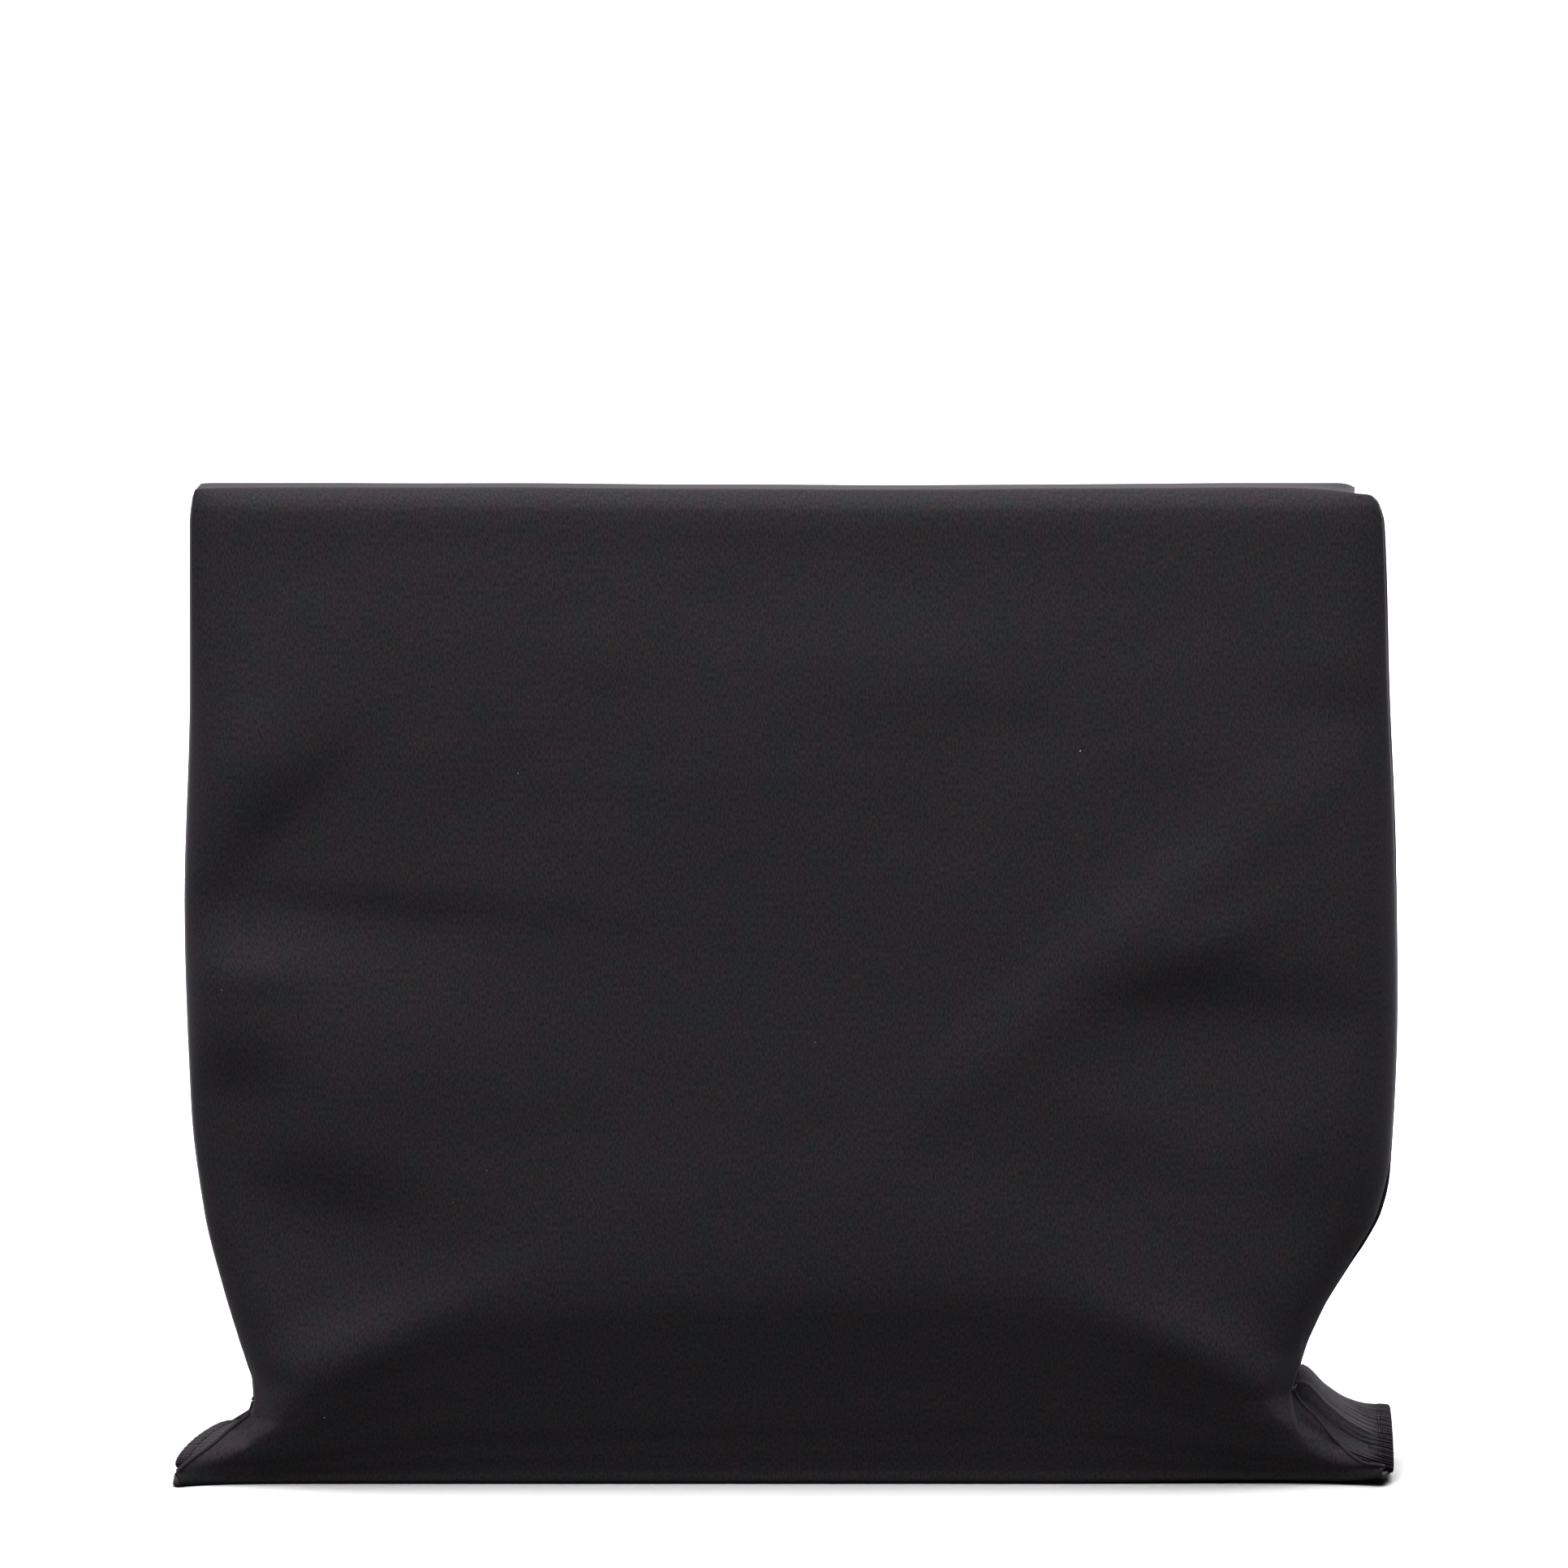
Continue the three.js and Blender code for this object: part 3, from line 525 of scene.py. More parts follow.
# ARCH is the line along which the belly turns under, as [x, z]. BELLY is how far the front cloth lies behind
# the CAD's outer face in the middle of the bag, as [z, distance]. Towards the necks that shape lies lower.
ARCH = [
    [-320, 42], [-291, 45], [-225, 72], [-165, 92], [15, 104], [128, 106], [195, 85], [240, 64],
    [281, 46], [320, 42],
]
ARCH_MIDDLE = 104.0
BELLY = [
    [0, 8.2], [3, 8.5], [6, 8.5], [10, 7.4], [14, 5.7], [22, 2.3], [30, -0.6], [45, -4.1], [60, -7.0],
    [76, -9.3], [90, -11.0], [103, -12.3], [110, -12.7], [118, -12.5], [130, -11.4], [150, -9.5],
    [210, -6.2], [300, -5.4], [385, -5.2], [460, -4.4], [520, -1.4], [540, 0],
]
ARCH_LOWERS = (230, 90)  # from nothing at the first height to all of it at the second
front_depth_at = table([[z, y] for y, z in FRONT_PATH[7:22]])  # the part of the path that climbs the front


def belly_shift(x, z):
    """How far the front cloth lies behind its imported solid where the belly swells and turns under."""
    lowered = ARCH_MIDDLE / table(ARCH)(x)
    middle_z = z * (1 + (lowered - 1) * ease(*ARCH_LOWERS, z))
    shape = front_depth_at(middle_z) + table(BELLY)(middle_z)
    return shape - front_depth_at(z)


def front_dents(x, z):
    """How far the front cloth's dents reach inwards at each x and z."""
    depth = np.zeros_like(x)
    for fold_x, fold_z, half_length, half_width, angle, inwards in FRONT_FOLDS:
        turn = math.radians(angle)
        along = (x - fold_x) * math.cos(turn) + (z - fold_z) * math.sin(turn)
        aside = (z - fold_z) * math.cos(turn) - (x - fold_x) * math.sin(turn)
        reach = half_width * np.where((aside < 0) & (inwards > 0), SOFT_BELOW, 1.0)
        depth += inwards * np.exp(-((along / half_length) ** 2) - (aside / reach) ** 2)
    return depth


def inset_path(section, inset):
    """A path moved in from the outer face, square to its run."""
    ahead = np.gradient(section, axis=0)
    ahead /= np.linalg.norm(ahead, axis=1, keepdims=True)
    return section + inset * np.c_[ahead[:, 1], -ahead[:, 0]]


TOP_FOLD_Y = (-9, 5)  # over the top fold the body's edges turn into the flap's
TOP_FOLD_MIN_Z = 300  # and only up there


def body_grid(section, side, inset, side_inset, columns, edges):
    """One cloth of the body along a path: its points, then each one's path y, path z and share.

    side is 1 for the front and -1 for the back. The share is 0 at the side seams and 1 in the middle."""
    y, z = section[:, :1], section[:, 1:]
    moved = inset_path(section, inset)
    left, right = edges[0](z), edges[1](z)
    grounded = ease(CORNER_TOP_Z, CORNER_TOP_Z - CORNER_BLEND, z)
    left += grounded * np.maximum(table(LEFT_CORNER)(y) - left, 0)
    right += grounded * np.minimum(table(RIGHT_CORNER)(y) - right, 0)
    folded = ease(*TOP_FOLD_Y, y) * (z > TOP_FOLD_MIN_Z) * (side > 0)
    left = left * (1 - folded) + FLAP_LEFT * folded
    right = right * (1 - folded) + FLAP_RIGHT * folded
    across = columns[None, :]
    x = left + side_inset + (right - left - 2 * side_inset) * (across + 1) / 2
    seen_across = across
    if inset == 0:  # what sticks out past the front cloth's edge lies flat in the seam's plane
        front_across = 2 * (x - left_edge(z)) / (right_edge(z) - left_edge(z)) - 1
        further_out = np.minimum(across, front_across), np.maximum(across, front_across)
        seen_across = np.where(across < 0, *further_out)
    body_share = rounded_share(np.clip(seen_across, -1, 1))
    flap_share = quarter_round(np.minimum(x - left, right - x), FLAP_ROUNDING)
    share = body_share * (1 - folded) + flap_share * folded
    neck_open, neck_sewn = (
        np.where(across < 0, NECKS["left"][key], NECKS["right"][key]) for key in ("open", "sewn")
    )
    turned = ease(neck_open, neck_sewn, z) * (1 - share)
    seam_y = seam_plane(z) * (1 - folded) + FLAP_SEAM_Y * folded - side * SEAM_HALF_GAP
    seam_z = np.minimum(z, np.where(across < 0, *SEAM_TOP_Z))
    depth = moved[:, :1] + turned * (seam_y - moved[:, :1])
    height = moved[:, 1:] + turned * (seam_z - z)
    return np.stack([x, depth, height], 2), y + 0 * x, z + 0 * x, share + 0 * x


# -------- the sleeves' sizes
# Along a sleeve, 0 is its cuff. Tilt leans its flattened section, skew draws its front back, and ruffled and
# gathered are how strongly its elastic draws the cloth up.
HALF_DEPTH = [[0, 37], [20, 37.5], [60, 37], [82, 35], [90, 33], [98, 35], [120, 37], [215, 37]]
CENTRE_Y = [[0, -3.5], [50, 0], [215, 1]]
SLEEVE_END_X, SLEEVE_LENGTH, HEM_LENGTH = 338.5, 215.0, 8.0
FOREARM_AT = 90.0  # where the forearm elastic sits
SLEEVES = {
    "left": {
        "side": -1,
        "half_height": [
            [0, 9], [12, 9.5], [50, 12.5], [82, 11.5], [90, 10.2], [98, 11.5], [120, 12.5], [215, 12.5],
        ],
        "centre_z": [[0, 14], [12, 14.4], [50, 17.4], [82, 17.4], [215, 17.4]],
        "tilt": [[0, 0.08], [30, 0.04], [70, 0], [215, 0]],
        "skew": [[0, 0.42], [12, 0.4], [110, 0], [215, 0]],
        "seed": 4,
        "ruffled": 0.3,
        "gathered": 0.45,
        "stitches": 58,  # wide needle holes, their thread sunk out of sight, drawn as near-black tubes of painted shade
        "stitch_radius": 0.0004,
        "stitch_look": NEEDLE_HOLE_SHADE,
    },
    "right": {
        "side": 1,
        "half_height": [
            [0, 11.5], [12, 12.5], [25, 15.5], [36, 20], [50, 26.5], [82, 18], [90, 15.5], [98, 17.5],
            [120, 20.5], [215, 20],
        ],
        "centre_z": [[0, 17.6], [12, 18.8], [25, 21.5], [36, 25.4], [50, 31.6], [82, 25.5], [215, 24.4]],
        "tilt": [[0, 0.22], [30, 0.12], [70, 0.03], [110, 0], [215, 0]],
        "skew": [[0, 0], [215, 0]],
        "seed": 8,
        "ruffled": 1.5,
        "gathered": 1.3,
        "stitches": 130,
        "stitch_radius": 0.00016,
        "stitch_look": THREAD,
    },
}
GATHERS, BROAD_GATHERS = 46, 29  # folds round a cuff, drawn up by its elastic
RUFFLES = 118  # small ruffles along the hem's edge


NO_SLEEVE_Y = 60.0  # far back, where there is no sleeve


def sleeve_front(x, z):
    """How far forward (y) the sleeves reach at each x and z."""
    reach = np.full_like(x, NO_SLEEVE_Y)
    for sleeve in SLEEVES.values():
        along = SLEEVE_END_X - sleeve["side"] * x
        up = (z - table(sleeve["centre_z"])(along)) / table(sleeve["half_height"])(along)
        front = table(CENTRE_Y)(along) - table(HALF_DEPTH)(along) * np.sqrt(np.maximum(0, 1 - up**2))
        front += 8 * ease(120, SLEEVE_LENGTH, along)  # its hold on the cloth fades towards its inner end
        beside = (along > -4) & (along < SLEEVE_LENGTH) & (np.abs(up) < 1)
        reach = np.where(beside, np.minimum(reach, front), reach)
    return reach


SLEEVE_CLEARANCE = 1.8
# Where the front's shaping sets in, as pairs for ease().
BELOW_TOP, ABOVE_GROUND, AHEAD_OF_BASE = (548, 505), (14, 60), (-24, -42)
LEAN_BACK = 7.0  # how far the cloth leans back at an arm opening's edge
LIFT_BROAD, LIFT_CORNER = 1.4, 3.6  # how far the right end and the right corner lift off the ground


def is_front(y, z):
    """True on the front, and not on the base, the top fold or the flap."""
    return (y < -5) & (z < 549)


def neck_shift(x, y, z):
    """How far the front cloth steps back behind its neck folds and leans back at the arm openings."""
    shift = np.zeros_like(x)
    for where, sign, edge in SIDES:
        neck = NECKS[where]
        lowest = neck["fold"][0][0]
        beyond = sign * (x - table(neck["fold"])(z))
        height = ease(lowest, lowest + 10, z) * ease(neck["sewn"] + 12, 52, z)
        shift += neck["step"] * ease(-0.4, 1.6, beyond) * height
        from_edge = sign * (edge(z) - x)
        lean = ease(20, 0, from_edge) * ease(6, 30, z) * ease(neck["sewn"] + 6, neck["open"], z)
        shift += LEAN_BACK * lean * (y < -30)
    return shift


def sculpt_front(points, y, z, share):
    """The front cloth's dents, belly, neck folds, lifted corner and sagging top fold, in place."""
    x = points[..., 0]
    on_front = is_front(y, z)
    between = on_front * ease(*BELOW_TOP, z) * ease(*ABOVE_GROUND, z)
    points[..., 1] += front_dents(x, z) * share * between
    points[..., 1] += belly_shift(x, z) * on_front * share**2 * ease(*AHEAD_OF_BASE, y)
    points[..., 1] += (0.9 * wavy(points, 70, 3) + 0.3 * wavy(points, 24, 9)) * share**2 * between
    points[..., 1] += neck_shift(x, y, z) * on_front
    # the sleeves hold the cloth off from behind
    held = np.minimum(points[..., 1], sleeve_front(x, z) - SLEEVE_CLEARANCE)
    points[..., 1] = np.where(on_front & (z > 2), held, points[..., 1])
    lift = LIFT_BROAD * ease(140, 270, x) + LIFT_CORNER * ease(300, 340, x) ** 2
    points[..., 2] += lift * ease(30, 4, z) * ease(40, -20, y)
    points[..., 2] = np.maximum(points[..., 2], 0)
    # the top fold sags a little between its ends
    sag = 1.3 * hump(x, 70, 150) + 0.5 * wavy(points, 90, 5) - 0.2
    points[..., 2] -= np.maximum(sag, -0.1) * ease(500, 553, z)
    return points


def settle_back(points, z, share):
    """The back lies lower over the left sleeve and is a little wavy, in place."""
    on_base = ease(120, 60, z)
    for where, sign, _ in SIDES:
        drop = NECKS[where]["drop"] * on_base * ease(225, 295, sign * points[..., 0])
        points[..., 2] -= drop * np.maximum(points[..., 2] - 8, 0)
    soft = ease(0.0, 1.0, share) * ease(545, 470, z) * ease(6, 30, z)
    points[..., 1] += soft * (1.4 * wavy(points, 80, 21) + 0.4 * wavy(points, 26, 33))
    points[..., 2] += soft * on_base * 1.2 * wavy(points, 45, 12)


BODY_COLUMNS = across_columns(0.16, 0.0036, 0.016)
LINING_COLUMNS = across_columns(0.1, 0.01, 0.03)


def front_rows(y, z):
    """Gaps between the front cloth's rows: small at the base's front and round the top fold."""
    return np.where((z < 80) & (y < -20), 1.3, np.where(z > 535, 1.4, 4.2))


def back_rows(y, z):
    return np.where(z < 80, 2.0, 4.5)


def even_rows(gap):
    return lambda y, z: gap + 0 * y


# ---- the front cloth: base, front, top fold and the flap down to the outer zip
front_section = path(FRONT_PATH, front_rows)
front_points = sculpt_front(*body_grid(front_section, 1, 0, 0, BODY_COLUMNS, FRONT_EDGES))
front_cloth = cloth_piece("front_cloth", front_points, (0, -1, 0), CLOTH_THICK)
wear(front_cloth, OUTER, None, ("outer_front_panel", "flap_cloth_upper"))

# ---- the back cloth: behind the body and over the base
back_section = path(BACK_PATH, back_rows)
back_points, _, back_z, back_share = body_grid(back_section, -1, 0, 0, BODY_COLUMNS, BACK_EDGES)
settle_back(back_points, back_z, back_share)
back_cloth = cloth_piece("back_cloth", back_points, (0, 1, 0), CLOTH_THICK)
wear(back_cloth, OUTER, "bag", ("outer_back_panel",))

# ---- the lining, front and back, a little inside the cloth
LINING_INSET, LINING_SIDE_INSET, LINING_NECK_INSET = 2.4, 12.0, 20.0
FRONT_LINING_PATH = [[49, 2], *FRONT_PATH[2:21], [-16, 551.5], [-9.5, 553.4]]
BACK_LINING_PATH = [[-4.6, 548.5], *BACK_PATH[1:13], [48, 30]]
LINING_GAP = 1.4  # how much further back the front lining hangs above the base
LINING_FRONT_Y = -38.0  # beside the sleeves it keeps this far forward


def settle_front_lining(points, y, z, share):
    """The front lining follows the cloth's dents and belly from behind, in place."""
    x = points[..., 0]
    dents = np.maximum(front_dents(x, z), 0) * share
    points[..., 1] += dents * ease(*ABOVE_GROUND, z) * ease(*BELOW_TOP, z)
    shift = belly_shift(x, z)
    shift = np.where(shift < 0, shift * share**2, shift)
    points[..., 1] += shift * is_front(y, z) * ease(*AHEAD_OF_BASE, y)
    points[..., 1] += LINING_GAP * (y < -5) * ease(20, 60, z)
    beside_sleeves = (y < -30) & (z < 62)
    points[..., 1] = np.where(beside_sleeves, np.minimum(points[..., 1], LINING_FRONT_Y), points[..., 1])


for name, line, side, node in (
    ("front_lining", FRONT_LINING_PATH, 1, "inner_front_panel"),
    ("back_lining", BACK_LINING_PATH, -1, "inner_back_panel"),
):
    line = path(line, even_rows(6.0))
    # beside the necks the front cloth folds back, so the lining keeps further in
    side_inset = LINING_SIDE_INSET + (LINING_NECK_INSET * ease(92, 68, line[:, 1:]) if side > 0 else 0)
    grid, y, z, share = body_grid(line, side, LINING_INSET, side_inset, LINING_COLUMNS, FRONT_EDGES)
    if side > 0:
        settle_front_lining(grid, y, z, share)
    else:
        settle_back(grid, z, share)
    piece = cloth_piece(name, grid, (0, -side, 0), LINING_THICK)
    wear(piece, LINING, "bag", (node,))

# -------- the arm sleeves
def sleeve_grid(sleeve, along, angle, inset):
    """Points of a sleeve, before its gathers."""
    half_depth, centre_y = table(HALF_DEPTH)(along), table(CENTRE_Y)(along)
    half_height, centre_z = table(sleeve["half_height"])(along), table(sleeve["centre_z"])(along)
    tilt, skew = table(sleeve["tilt"])(along), table(sleeve["skew"])(along)
    reach_y = (half_depth - inset) * np.cos(angle)
    reach_z = (half_height - inset) * np.sin(angle)
    return np.stack(
        [
            sleeve["side"] * (SLEEVE_END_X - along - skew * (reach_y + HALF_DEPTH[0][1])),
            centre_y + reach_y * np.cos(tilt) - reach_z * np.sin(tilt),
            centre_z + reach_y * np.sin(tilt) + reach_z * np.cos(tilt),
        ],
        -1,
    )


STITCH_ALONG = HEM_LENGTH - 0.6  # where the hem's stitches run
HOLLOW_ANGLE, HOLLOW_DEPTH = 150, 6.5  # of the hollow along the front of the right sleeve
RIDGE_ANGLE, RIDGE_HEIGHT = 121, 1.1  # of the ridge above that hollow


def gathered_inset(sleeve, along, angle, inset):
    """How deep each point lies once the elastics have gathered the cloth."""
    seed = sleeve["seed"]
    wander = 0.9 * np.sin(3 * angle + seed) + 0.6 * np.sin(7 * angle - 2 * seed) + 0.03 * along
    gather = np.cos(GATHERS * angle + 2.2 * wander) + 0.5 * np.cos(BROAD_GATHERS * angle - wander)
    ruffle = sleeve["ruffled"] * np.cos(RUFFLES * angle + 3.1 * wander)
    at_cuff = ease(34, 7, along)
    at_forearm = hump(along, FOREARM_AT, 13)
    depth = inset + 0.75 * (0.5 - 0.5 * gather) * np.maximum(0.8 * sleeve["gathered"] * at_cuff, at_forearm)
    depth += 0.28 * ruffle * ease(14, 6, along)
    depth += 0.5 * hump(along, STITCH_ALONG, 0.7)  # the hem's stitches pull in a groove
    depth += 0.9 * hump(along, FOREARM_AT, 2.0)
    if sleeve["side"] > 0:  # a hollow runs from the neck to the cuff along the front of the right sleeve
        degrees = np.degrees(angle) % 360
        depth += HOLLOW_DEPTH * hump(degrees, HOLLOW_ANGLE, 17) * ease(8, 18, along) * ease(75, 55, along)
        depth -= RIDGE_HEIGHT * hump(degrees, RIDGE_ANGLE, 4) * ease(8, 16, along) * ease(70, 50, along)
    return depth


def sleeve_piece(name, sleeve, stations, inset, columns, thickness, rough):
    """A tube through stations along a sleeve; rough is how strongly it takes on the gathers."""
    angle, along = np.meshgrid(np.arange(columns) * 2 * math.pi / columns, stations)
    base = np.broadcast_to(np.reshape(inset, (-1, 1)), along.shape)
    depth = base + rough * (gathered_inset(sleeve, along, angle, base) - base)
    points = sleeve_grid(sleeve, along, angle, depth)
    middle_ring = points[len(stations) // 2]
    outward = middle_ring[columns // 2] - middle_ring.mean(0)
    return cloth_piece(name, points, outward, thickness, closed=True)


def stitch_row(spots, share):
    """Short threads, each a share of the way from one spot to the next."""
    steps = (0.0, share / 2, share)
    return [np.stack([a + (b - a) * step for step in steps]) for a, b in zip(spots[:-1], spots[1:])]


# Stations along a sleeve. The tube's are close together in the gathers near the cuff.
CLOTH_RUN = np.r_[np.linspace(STITCH_ALONG, 40, 34), np.linspace(43, 125, 28), np.linspace(132, 215, 12)]
LINING_RUN = np.linspace(HEM_LENGTH + 2, SLEEVE_LENGTH - 3, 60)
# The hem is turned round the elastic, from the outer face over the edge and back inside.
HEM_ROUND, HEM_FLAT_FROM = 1.9, 2.2
HEM_TURN = np.linspace(0, math.pi, 9)[1:-1]
HEM_RUN = np.r_[
    np.linspace(HEM_LENGTH, HEM_FLAT_FROM, 9),
    HEM_ROUND * (1 - np.sin(HEM_TURN)),
    np.linspace(HEM_FLAT_FROM, HEM_LENGTH, 7),
]
HEM_INSET = np.r_[np.zeros(9), HEM_ROUND * (1 - np.cos(HEM_TURN)), np.full(7, 2 * HEM_ROUND)]
WRIST_RUN = np.linspace(2.2, 7.0, 8)
FOREARM_RUN = np.linspace(FOREARM_AT - 4, FOREARM_AT + 4, 8)

for where, sleeve in SLEEVES.items():
    # name, the CAD node it stands for, material, slot, stations, inset, columns, thickness, how rough
    for name, node, material, slot, *shape in (
        ("sleeve_tube", "sleeve_cloth", OUTER, "outer_cloth", CLOTH_RUN, 0.35, 480, CLOTH_THICK, 1.0),
        ("sleeve_inside", "sleeve_lining", LINING, "inner_cloth", LINING_RUN, 2.6, 160, LINING_THICK, 0.5),
        ("cuff", "cuff_hem", OUTER, "outer_cloth", HEM_RUN, HEM_INSET, 960, 0.6, 1.0),
        ("wrist_band", "wrist_elastic", ELASTIC, "elastic", WRIST_RUN, 1.6, 360, 0.9, 0.6),
        ("forearm_band", "forearm_elastic", ELASTIC, "elastic", FOREARM_RUN, 1.7, 360, 0.4, 0.8),
    ):
        piece = sleeve_piece(f"{where}_{name}", sleeve, *shape)
        wear(piece, material, f"{where}_sleeve", (f"{where}_{node}",))
    angle = np.arange(sleeve["stitches"] + 1) * 2 * math.pi / sleeve["stitches"]
    along = np.full_like(angle, STITCH_ALONG)
    depth = gathered_inset(sleeve, along, angle, 0.0) - 0.2
    spots = placed(sleeve_grid(sleeve, along, angle, depth))
    stitches = tubes_piece(f"{where}_cuff_stitches", stitch_row(spots, 0.45), sleeve["stitch_radius"], 6)
    wear(stitches, sleeve["stitch_look"], f"{where}_sleeve")

# -------- hems of the arm openings, seams
STRIP_COLUMNS = 9
STRIP_INSET = 1.5
HEM_FACES = np.array([0, 0, 16.0])  # an opening hem lies on the cloth's side that looks at this line
LIP_RADIUS = {"left": 0.0013, "right": 0.0010}
LIP_SHIFT = np.array([0.3, 0.4, 0.3])  # inwards, backwards and up from the cloth's very edge
SEAM_HEIGHTS = np.linspace(90, 525, 260)[:, None]
SEAM_DEPTHS = np.linspace(4, 9.5, 6)[None]
BACK_OPEN_SHARE = 0.8  # the back cloth's opening is a little lower


def opening_hem(name, node, points, z_limit, sign):
    """The folded strip inside the cloth's turned edge at an arm opening."""
    outer_z = points[:, 0 if sign < 0 else -1, 2]
    rows = np.where(outer_z < z_limit)[0]
    columns = slice(0, STRIP_COLUMNS) if sign < 0 else slice(-1, -1 - STRIP_COLUMNS, -1)
    strip = points[rows][:, columns].copy()
    normal = np.cross(np.gradient(strip, axis=0), np.gradient(strip, axis=1))
    normal /= np.linalg.norm(normal, axis=2, keepdims=True) + 1e-9
    inwards = (HEM_FACES - strip) * [0, 1, 1]
    facing = np.sign((normal * inwards).sum(2, keepdims=True))
    strip += normal * facing * STRIP_INSET
    middle = len(rows) // 2, STRIP_COLUMNS // 2
    piece = cloth_piece(name, strip, normal[middle] * -facing[middle], 0.5)
    wear(piece, BINDING, "bag", (node,))


for where, sign, edge in SIDES:
    neck_open = NECKS[where]["open"]
    body_rows = front_points[: int(np.argmax(front_points[:, 0, 2] > 200))]
    opening_hem(f"{where}_front_hem", f"{where}_opening_hem_front", body_rows, neck_open, sign)
    back_open = neck_open * BACK_OPEN_SHARE
    opening_hem(f"{where}_back_hem", f"{where}_opening_hem_back", back_points, back_open, sign)

    # the rolled lip of the front cloth's open edge
    lip = body_rows[:, 0 if sign < 0 else -1]
    lip = lip[(lip[:, 1] < -22) & (lip[:, 2] < neck_open + 8)]
    lip[:, 2] = np.maximum(lip[:, 2], 1.1)
    lip = placed(lip + LIP_SHIFT * [-sign, 1, 1])
    roll = tubes_piece(f"{where}_opening_lip", [lip], LIP_RADIUS[where], 12)
    wear(roll, OUTER, "bag")

    # the seam allowances, turned in and overlocked
    ripple = 0.25 * np.sin(SEAM_HEIGHTS / 3.1) * np.linspace(0, 1, SEAM_DEPTHS.size)[None]
    x = edge(SEAM_HEIGHTS) - sign * SEAM_DEPTHS
    allowance = np.stack([x, seam_plane(SEAM_HEIGHTS) + ripple, SEAM_HEIGHTS + 0 * ripple], 2)
    seam = cloth_piece(f"{where}_seam_allowance", allowance, (0, 1, 0), 0.7)
    wear(seam, BINDING, "bag", (f"{where}_side_seam",))

base_low, base_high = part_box("base_seam")
across = np.linspace(base_low.x, base_high.x, 240)[:, None]
deep = np.linspace(base_low.y, base_high.y, 6)[None]
wave = 0.0003 * np.sin(across * 900) * (deep > base_low.y + 0.001)
base_middle_z = (base_low.z + base_high.z) / 2
base_spots = np.stack([across + 0 * deep, deep + 0 * across, base_middle_z + wave], 2)
base_strip = plain_strip("base_seam_allowance", base_spots, 0.0008, -1)
wear(base_strip, BINDING, "bag", ("base_seam",))

# -------- the folded zip end
def flap_grid(line, side_inset, seam_y, radius, columns):
    """A cloth of the zip end along a path, rounded off to the plane of its seams at both sides."""
    left, right = FLAP_LEFT + side_inset, FLAP_RIGHT - side_inset
    x = left + (right - left) * (columns[None, :] + 1) / 2 + 0 * line[:, :1]
    share = quarter_round(np.minimum(x - left, right - x), radius)
    y = seam_y + (line[:, :1] - seam_y) * share
    return np.stack([x, y, line[:, 1:] + 0 * x], 2)


FLAP_COLUMNS = across_columns(0.05, 0.0035, 0.02)


def flap_rows(y, z):
    return np.where((z < 474) | (z > 540), 1.3, 4.0)


flap_points = flap_grid(path(FLAP_LOWER_PATH, flap_rows), 0, FLAP_SEAM_Y, FLAP_ROUNDING, FLAP_COLUMNS)
from_side = np.minimum(flap_points[..., 0] - FLAP_LEFT, FLAP_RIGHT - flap_points[..., 0])
away = ease(0, 30, from_side)
flap_points[..., 1] += 0.35 * away * wavy(flap_points, 40, 14) * ease(470, 464, flap_points[..., 2])
along_only = flap_points * [1, 0, 0]
flap_points[..., 2] += 0.6 * away * wavy(along_only, 60, 17) * ease(466, 455, flap_points[..., 2])
flap_cloth = cloth_piece("flap_cloth", flap_points, (0, -1, 0), CLOTH_THICK)
wear(flap_cloth, OUTER, "flap", ("flap_cloth_lower", "flap_cloth_back"))

for name, line, nodes, outward in (
    ("inner_flap_top", INNER_FLAP_UPPER_PATH, ("inner_flap_upper",), (0, 1, 0)),
    ("inner_flap_cloth", INNER_FLAP_LOWER_PATH, ("inner_flap_lower", "inner_flap_back"), (0, 0, -1)),
):
    points = flap_grid(path(line, even_rows(2.0)), 5, 6.0, 6, FLAP_COLUMNS)
    piece = cloth_piece(name, points, outward, LINING_THICK)
    wear(piece, LINING, "flap", nodes)

# -------- the zips
# in metres, as they are built on their CAD nodes' boxes
COIL_PITCH, COIL_RADIUS, COIL_SIDES = 0.0015, 0.0003, 5
COIL_FLATTENED = 0.72  # how deep a coil is beside its node
TAPE_THICK = 0.0005
STITCH_PITCH, STITCH_RADIUS, STITCH_FROM_EDGE = 0.0026, 0.0002, 0.0035
TOPSTITCH_Y, TOPSTITCH_END = 21.15, 14.0  # in millimetres: outside the cloth, and short of its sides
METAL_BEVELS = {"slider": 0.00022, "pull": 0.0003, "stop_left": 0.00022, "stop_right": 0.00022}


def helix(low, high, inner_z, outer_z, phase):
    """A nylon coil along X: its loops reach from the tape to past the middle of the zip."""
    turns = int((high.x - low.x) / COIL_PITCH)
    t = np.linspace(0, turns, turns * 9 + 1)
    angle = 2 * math.pi * (t + phase)
    middle_z, half_z = (inner_z + outer_z) / 2, abs(outer_z - inner_z) / 2
    middle_y, half_y = (low.y + high.y) / 2, (high.y - low.y) / 2 * COIL_FLATTENED
    x = low.x + (high.x - low.x) * t / turns
    return np.c_[x, middle_y + half_y * np.sin(angle), middle_z + half_z * np.cos(angle)]


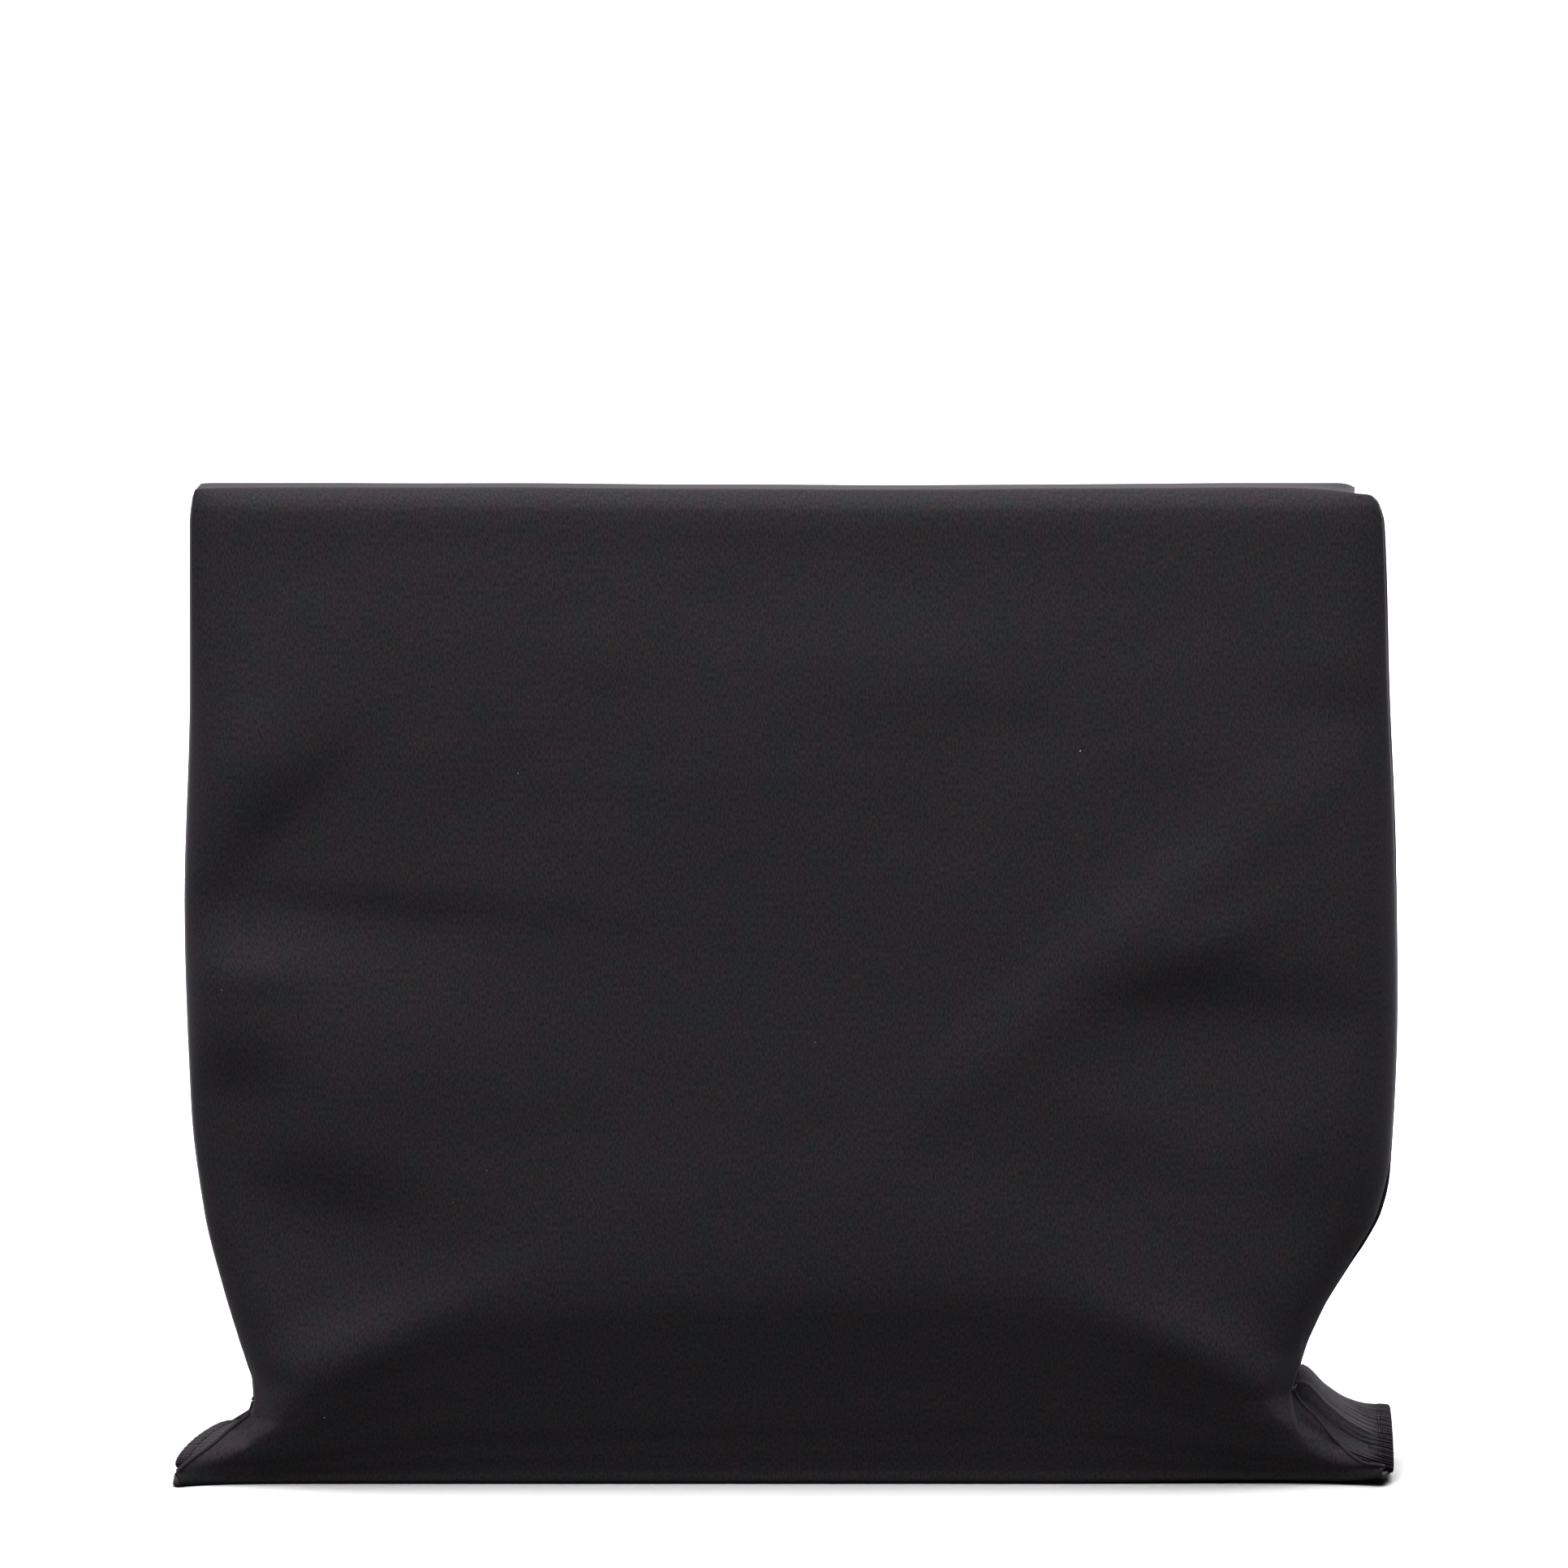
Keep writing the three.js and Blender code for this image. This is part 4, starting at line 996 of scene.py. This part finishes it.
for prefix in ("outer", "inner"):
    slider_low, slider_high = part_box(f"{prefix}_zip_slider")
    centre_z = (slider_low.z + slider_high.z) / 2
    for which, up in (("upper", 1), ("lower", -1)):
        low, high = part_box(f"{prefix}_zip_coil_{which}")
        outer_z = high.z if up > 0 else low.z
        line = helix(low, high, centre_z - up * 0.0004, outer_z - up * 0.0003, 0.0 if up > 0 else 0.5)
        coil = tubes_piece(f"{prefix}_coil_{which}", [line], COIL_RADIUS, COIL_SIDES)
        wear(coil, COIL, "flap", (f"{prefix}_zip_coil_{which}",))

        low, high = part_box(f"{prefix}_zip_tape_{which}")
        x = np.linspace(low.x, high.x, 420)[:, None]
        z = np.linspace(low.z, high.z, 10)[None]
        y = (low.y + high.y) / 2 + 0.00008 * np.sin(x * 700) + 0 * z
        tape_spots = np.stack([x + 0 * z, y, z + 0 * x], 2)
        tape = plain_strip(f"{prefix}_tape_{which}", tape_spots, TAPE_THICK, 0)
        wear(tape, TAPE, "flap", (f"{prefix}_zip_tape_{which}",))

    for part, bevel_width in METAL_BEVELS.items():
        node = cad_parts[f"{prefix}_zip_{part}"]
        node.data.materials.clear()
        node.data.materials.append(METAL)
        bevel = node.modifiers.new("worn_edges", "BEVEL")
        bevel.width = bevel_width
        bevel.segments = 3
        bevel.limit_method = "ANGLE"

# topstitching that holds the outer zip's tape to the cloth, above and below the zip
lower_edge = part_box("outer_zip_tape_lower")[0].z
upper_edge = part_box("outer_zip_tape_upper")[1].z
stitch_start = placed([FLAP_LEFT + TOPSTITCH_END, TOPSTITCH_Y, 0])
stitch_end = placed([FLAP_RIGHT - TOPSTITCH_END, TOPSTITCH_Y, 0])
stitches = []
for height in (lower_edge + STITCH_FROM_EDGE, upper_edge - STITCH_FROM_EDGE):
    x = np.arange(stitch_start[0], stitch_end[0], STITCH_PITCH)
    stitches += stitch_row(np.c_[x, np.full_like(x, stitch_start[1]), np.full_like(x, height)], 0.8)
topstitch = tubes_piece("flap_topstitch", stitches, STITCH_RADIUS, 5)
wear(topstitch, THREAD, "flap")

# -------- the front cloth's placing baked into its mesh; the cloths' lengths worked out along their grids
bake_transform(front_cloth)


def declare_sheet(grid):
    """Work out a cloth's lengths along its grid; nothing is kept of them."""
    spots = placed(grid)
    lengths = cloth_lengths(spots)


declare_sheet(front_points)
declare_sheet(back_points)

# -------- floor, light and camera
FLOOR_HALF, FLOOR_Z = 16.0, -0.0004
FLOOR_GREYS = (0.255, 0.255 * 0.98)  # two nearly equal greys, clouded into each other
floor_spots = np.array([[-1, -1, 0], [1, -1, 0], [1, 1, 0], [-1, 1, 0]]) * FLOOR_HALF + [0, 0, FLOOR_Z]
floor = mesh_piece("floor", floor_spots, [[0, 1, 2, 3]])
floor_look = Nodes("floor")
floor_cloud = floor_look.texture("Noise", floor_look.place(), 3.0)["Fac"]
greys = [(level, level, level, 1) for level in FLOOR_GREYS]
floor_look.link(floor_look.mix(floor_cloud, *greys), "Base Color")
floor_look.set("Roughness", 0.9)
floor_look.set("Specular IOR Level", 0.1)
floor.data.materials.append(floor_look.material)
floor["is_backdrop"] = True

# A white studio: a broad bright ceiling, tilted to the front, over dim walls.
CEILING_TOWARDS = Vector((-0.06, -0.26, 0.96)).normalized()
CEILING_EDGES = (0.70, 0.90)  # cosines of the angle from the ceiling's middle
WALL_LEVEL, CEILING_LEVEL = 0.36, 14.5

world = bpy.data.worlds.new("studio")
world.use_nodes = True
sky = world.node_tree
toward = sky.nodes.new("ShaderNodeTexCoord")
closeness = sky.nodes.new("ShaderNodeVectorMath")
closeness.operation = "DOT_PRODUCT"
closeness.inputs[1].default_value = CEILING_TOWARDS
ramp = sky.nodes.new("ShaderNodeMapRange")
ramp.interpolation_type = "SMOOTHSTEP"
for socket, level in enumerate((*CEILING_EDGES, WALL_LEVEL, CEILING_LEVEL), start=1):
    ramp.inputs[socket].default_value = level
sky.links.new(toward.outputs["Generated"], closeness.inputs[0])
sky.links.new(closeness.outputs["Value"], ramp.inputs["Value"])
sky.links.new(ramp.outputs[0], sky.nodes["Background"].inputs["Strength"])
sky.nodes["Background"].inputs["Color"].default_value = (1.0, 1.0, 1.0, 1)
scene.world = world
scene.view_settings.view_transform = "Standard"
scene.view_settings.gamma = 0.6  # a product photograph's steep contrast


# a soft lamp that fills in the back
LAMP_PLACE, LAMP_TARGET, LAMP_SIZE, LAMP_POWER = Vector((0.5, 2.2, 1.3)), Vector((0, 0, 0.3)), (1.4, 1.0), 60
light = bpy.data.lights.new("back_fill", "AREA")
light.shape = "RECTANGLE"
light.size, light.size_y = LAMP_SIZE
light.energy = LAMP_POWER
lamp = bpy.data.objects.new("back_fill", light)
lamp.location = LAMP_PLACE
lamp.rotation_euler = (LAMP_TARGET - LAMP_PLACE).to_track_quat("-Z", "Y").to_euler()
scene.collection.objects.link(lamp)

CAMERA_ELEVATION, CAMERA_DISTANCE = 10.0, 9.0
VIEW_WIDTH = 0.869  # metres across the picture at the front of the base
AIM_HEIGHT = 0.3910  # of the picture's middle above the front of the base, in the picture's plane
tilt = math.radians(CAMERA_ELEVATION)
picture_up = Vector((0, math.sin(tilt), math.cos(tilt)))
looking = Vector((0, math.cos(tilt), -math.sin(tilt)))
aim = Vector((0, CAD_LOW[1], 0)) + AIM_HEIGHT * picture_up
camera_data = bpy.data.cameras.new("camera")
camera_data.lens = camera_data.sensor_width * CAMERA_DISTANCE / VIEW_WIDTH
camera = bpy.data.objects.new("camera", camera_data)
camera.location = aim - CAMERA_DISTANCE * looking
camera.rotation_euler = looking.to_track_quat("-Z", "Y").to_euler()
scene.collection.objects.link(camera)
scene.camera = camera
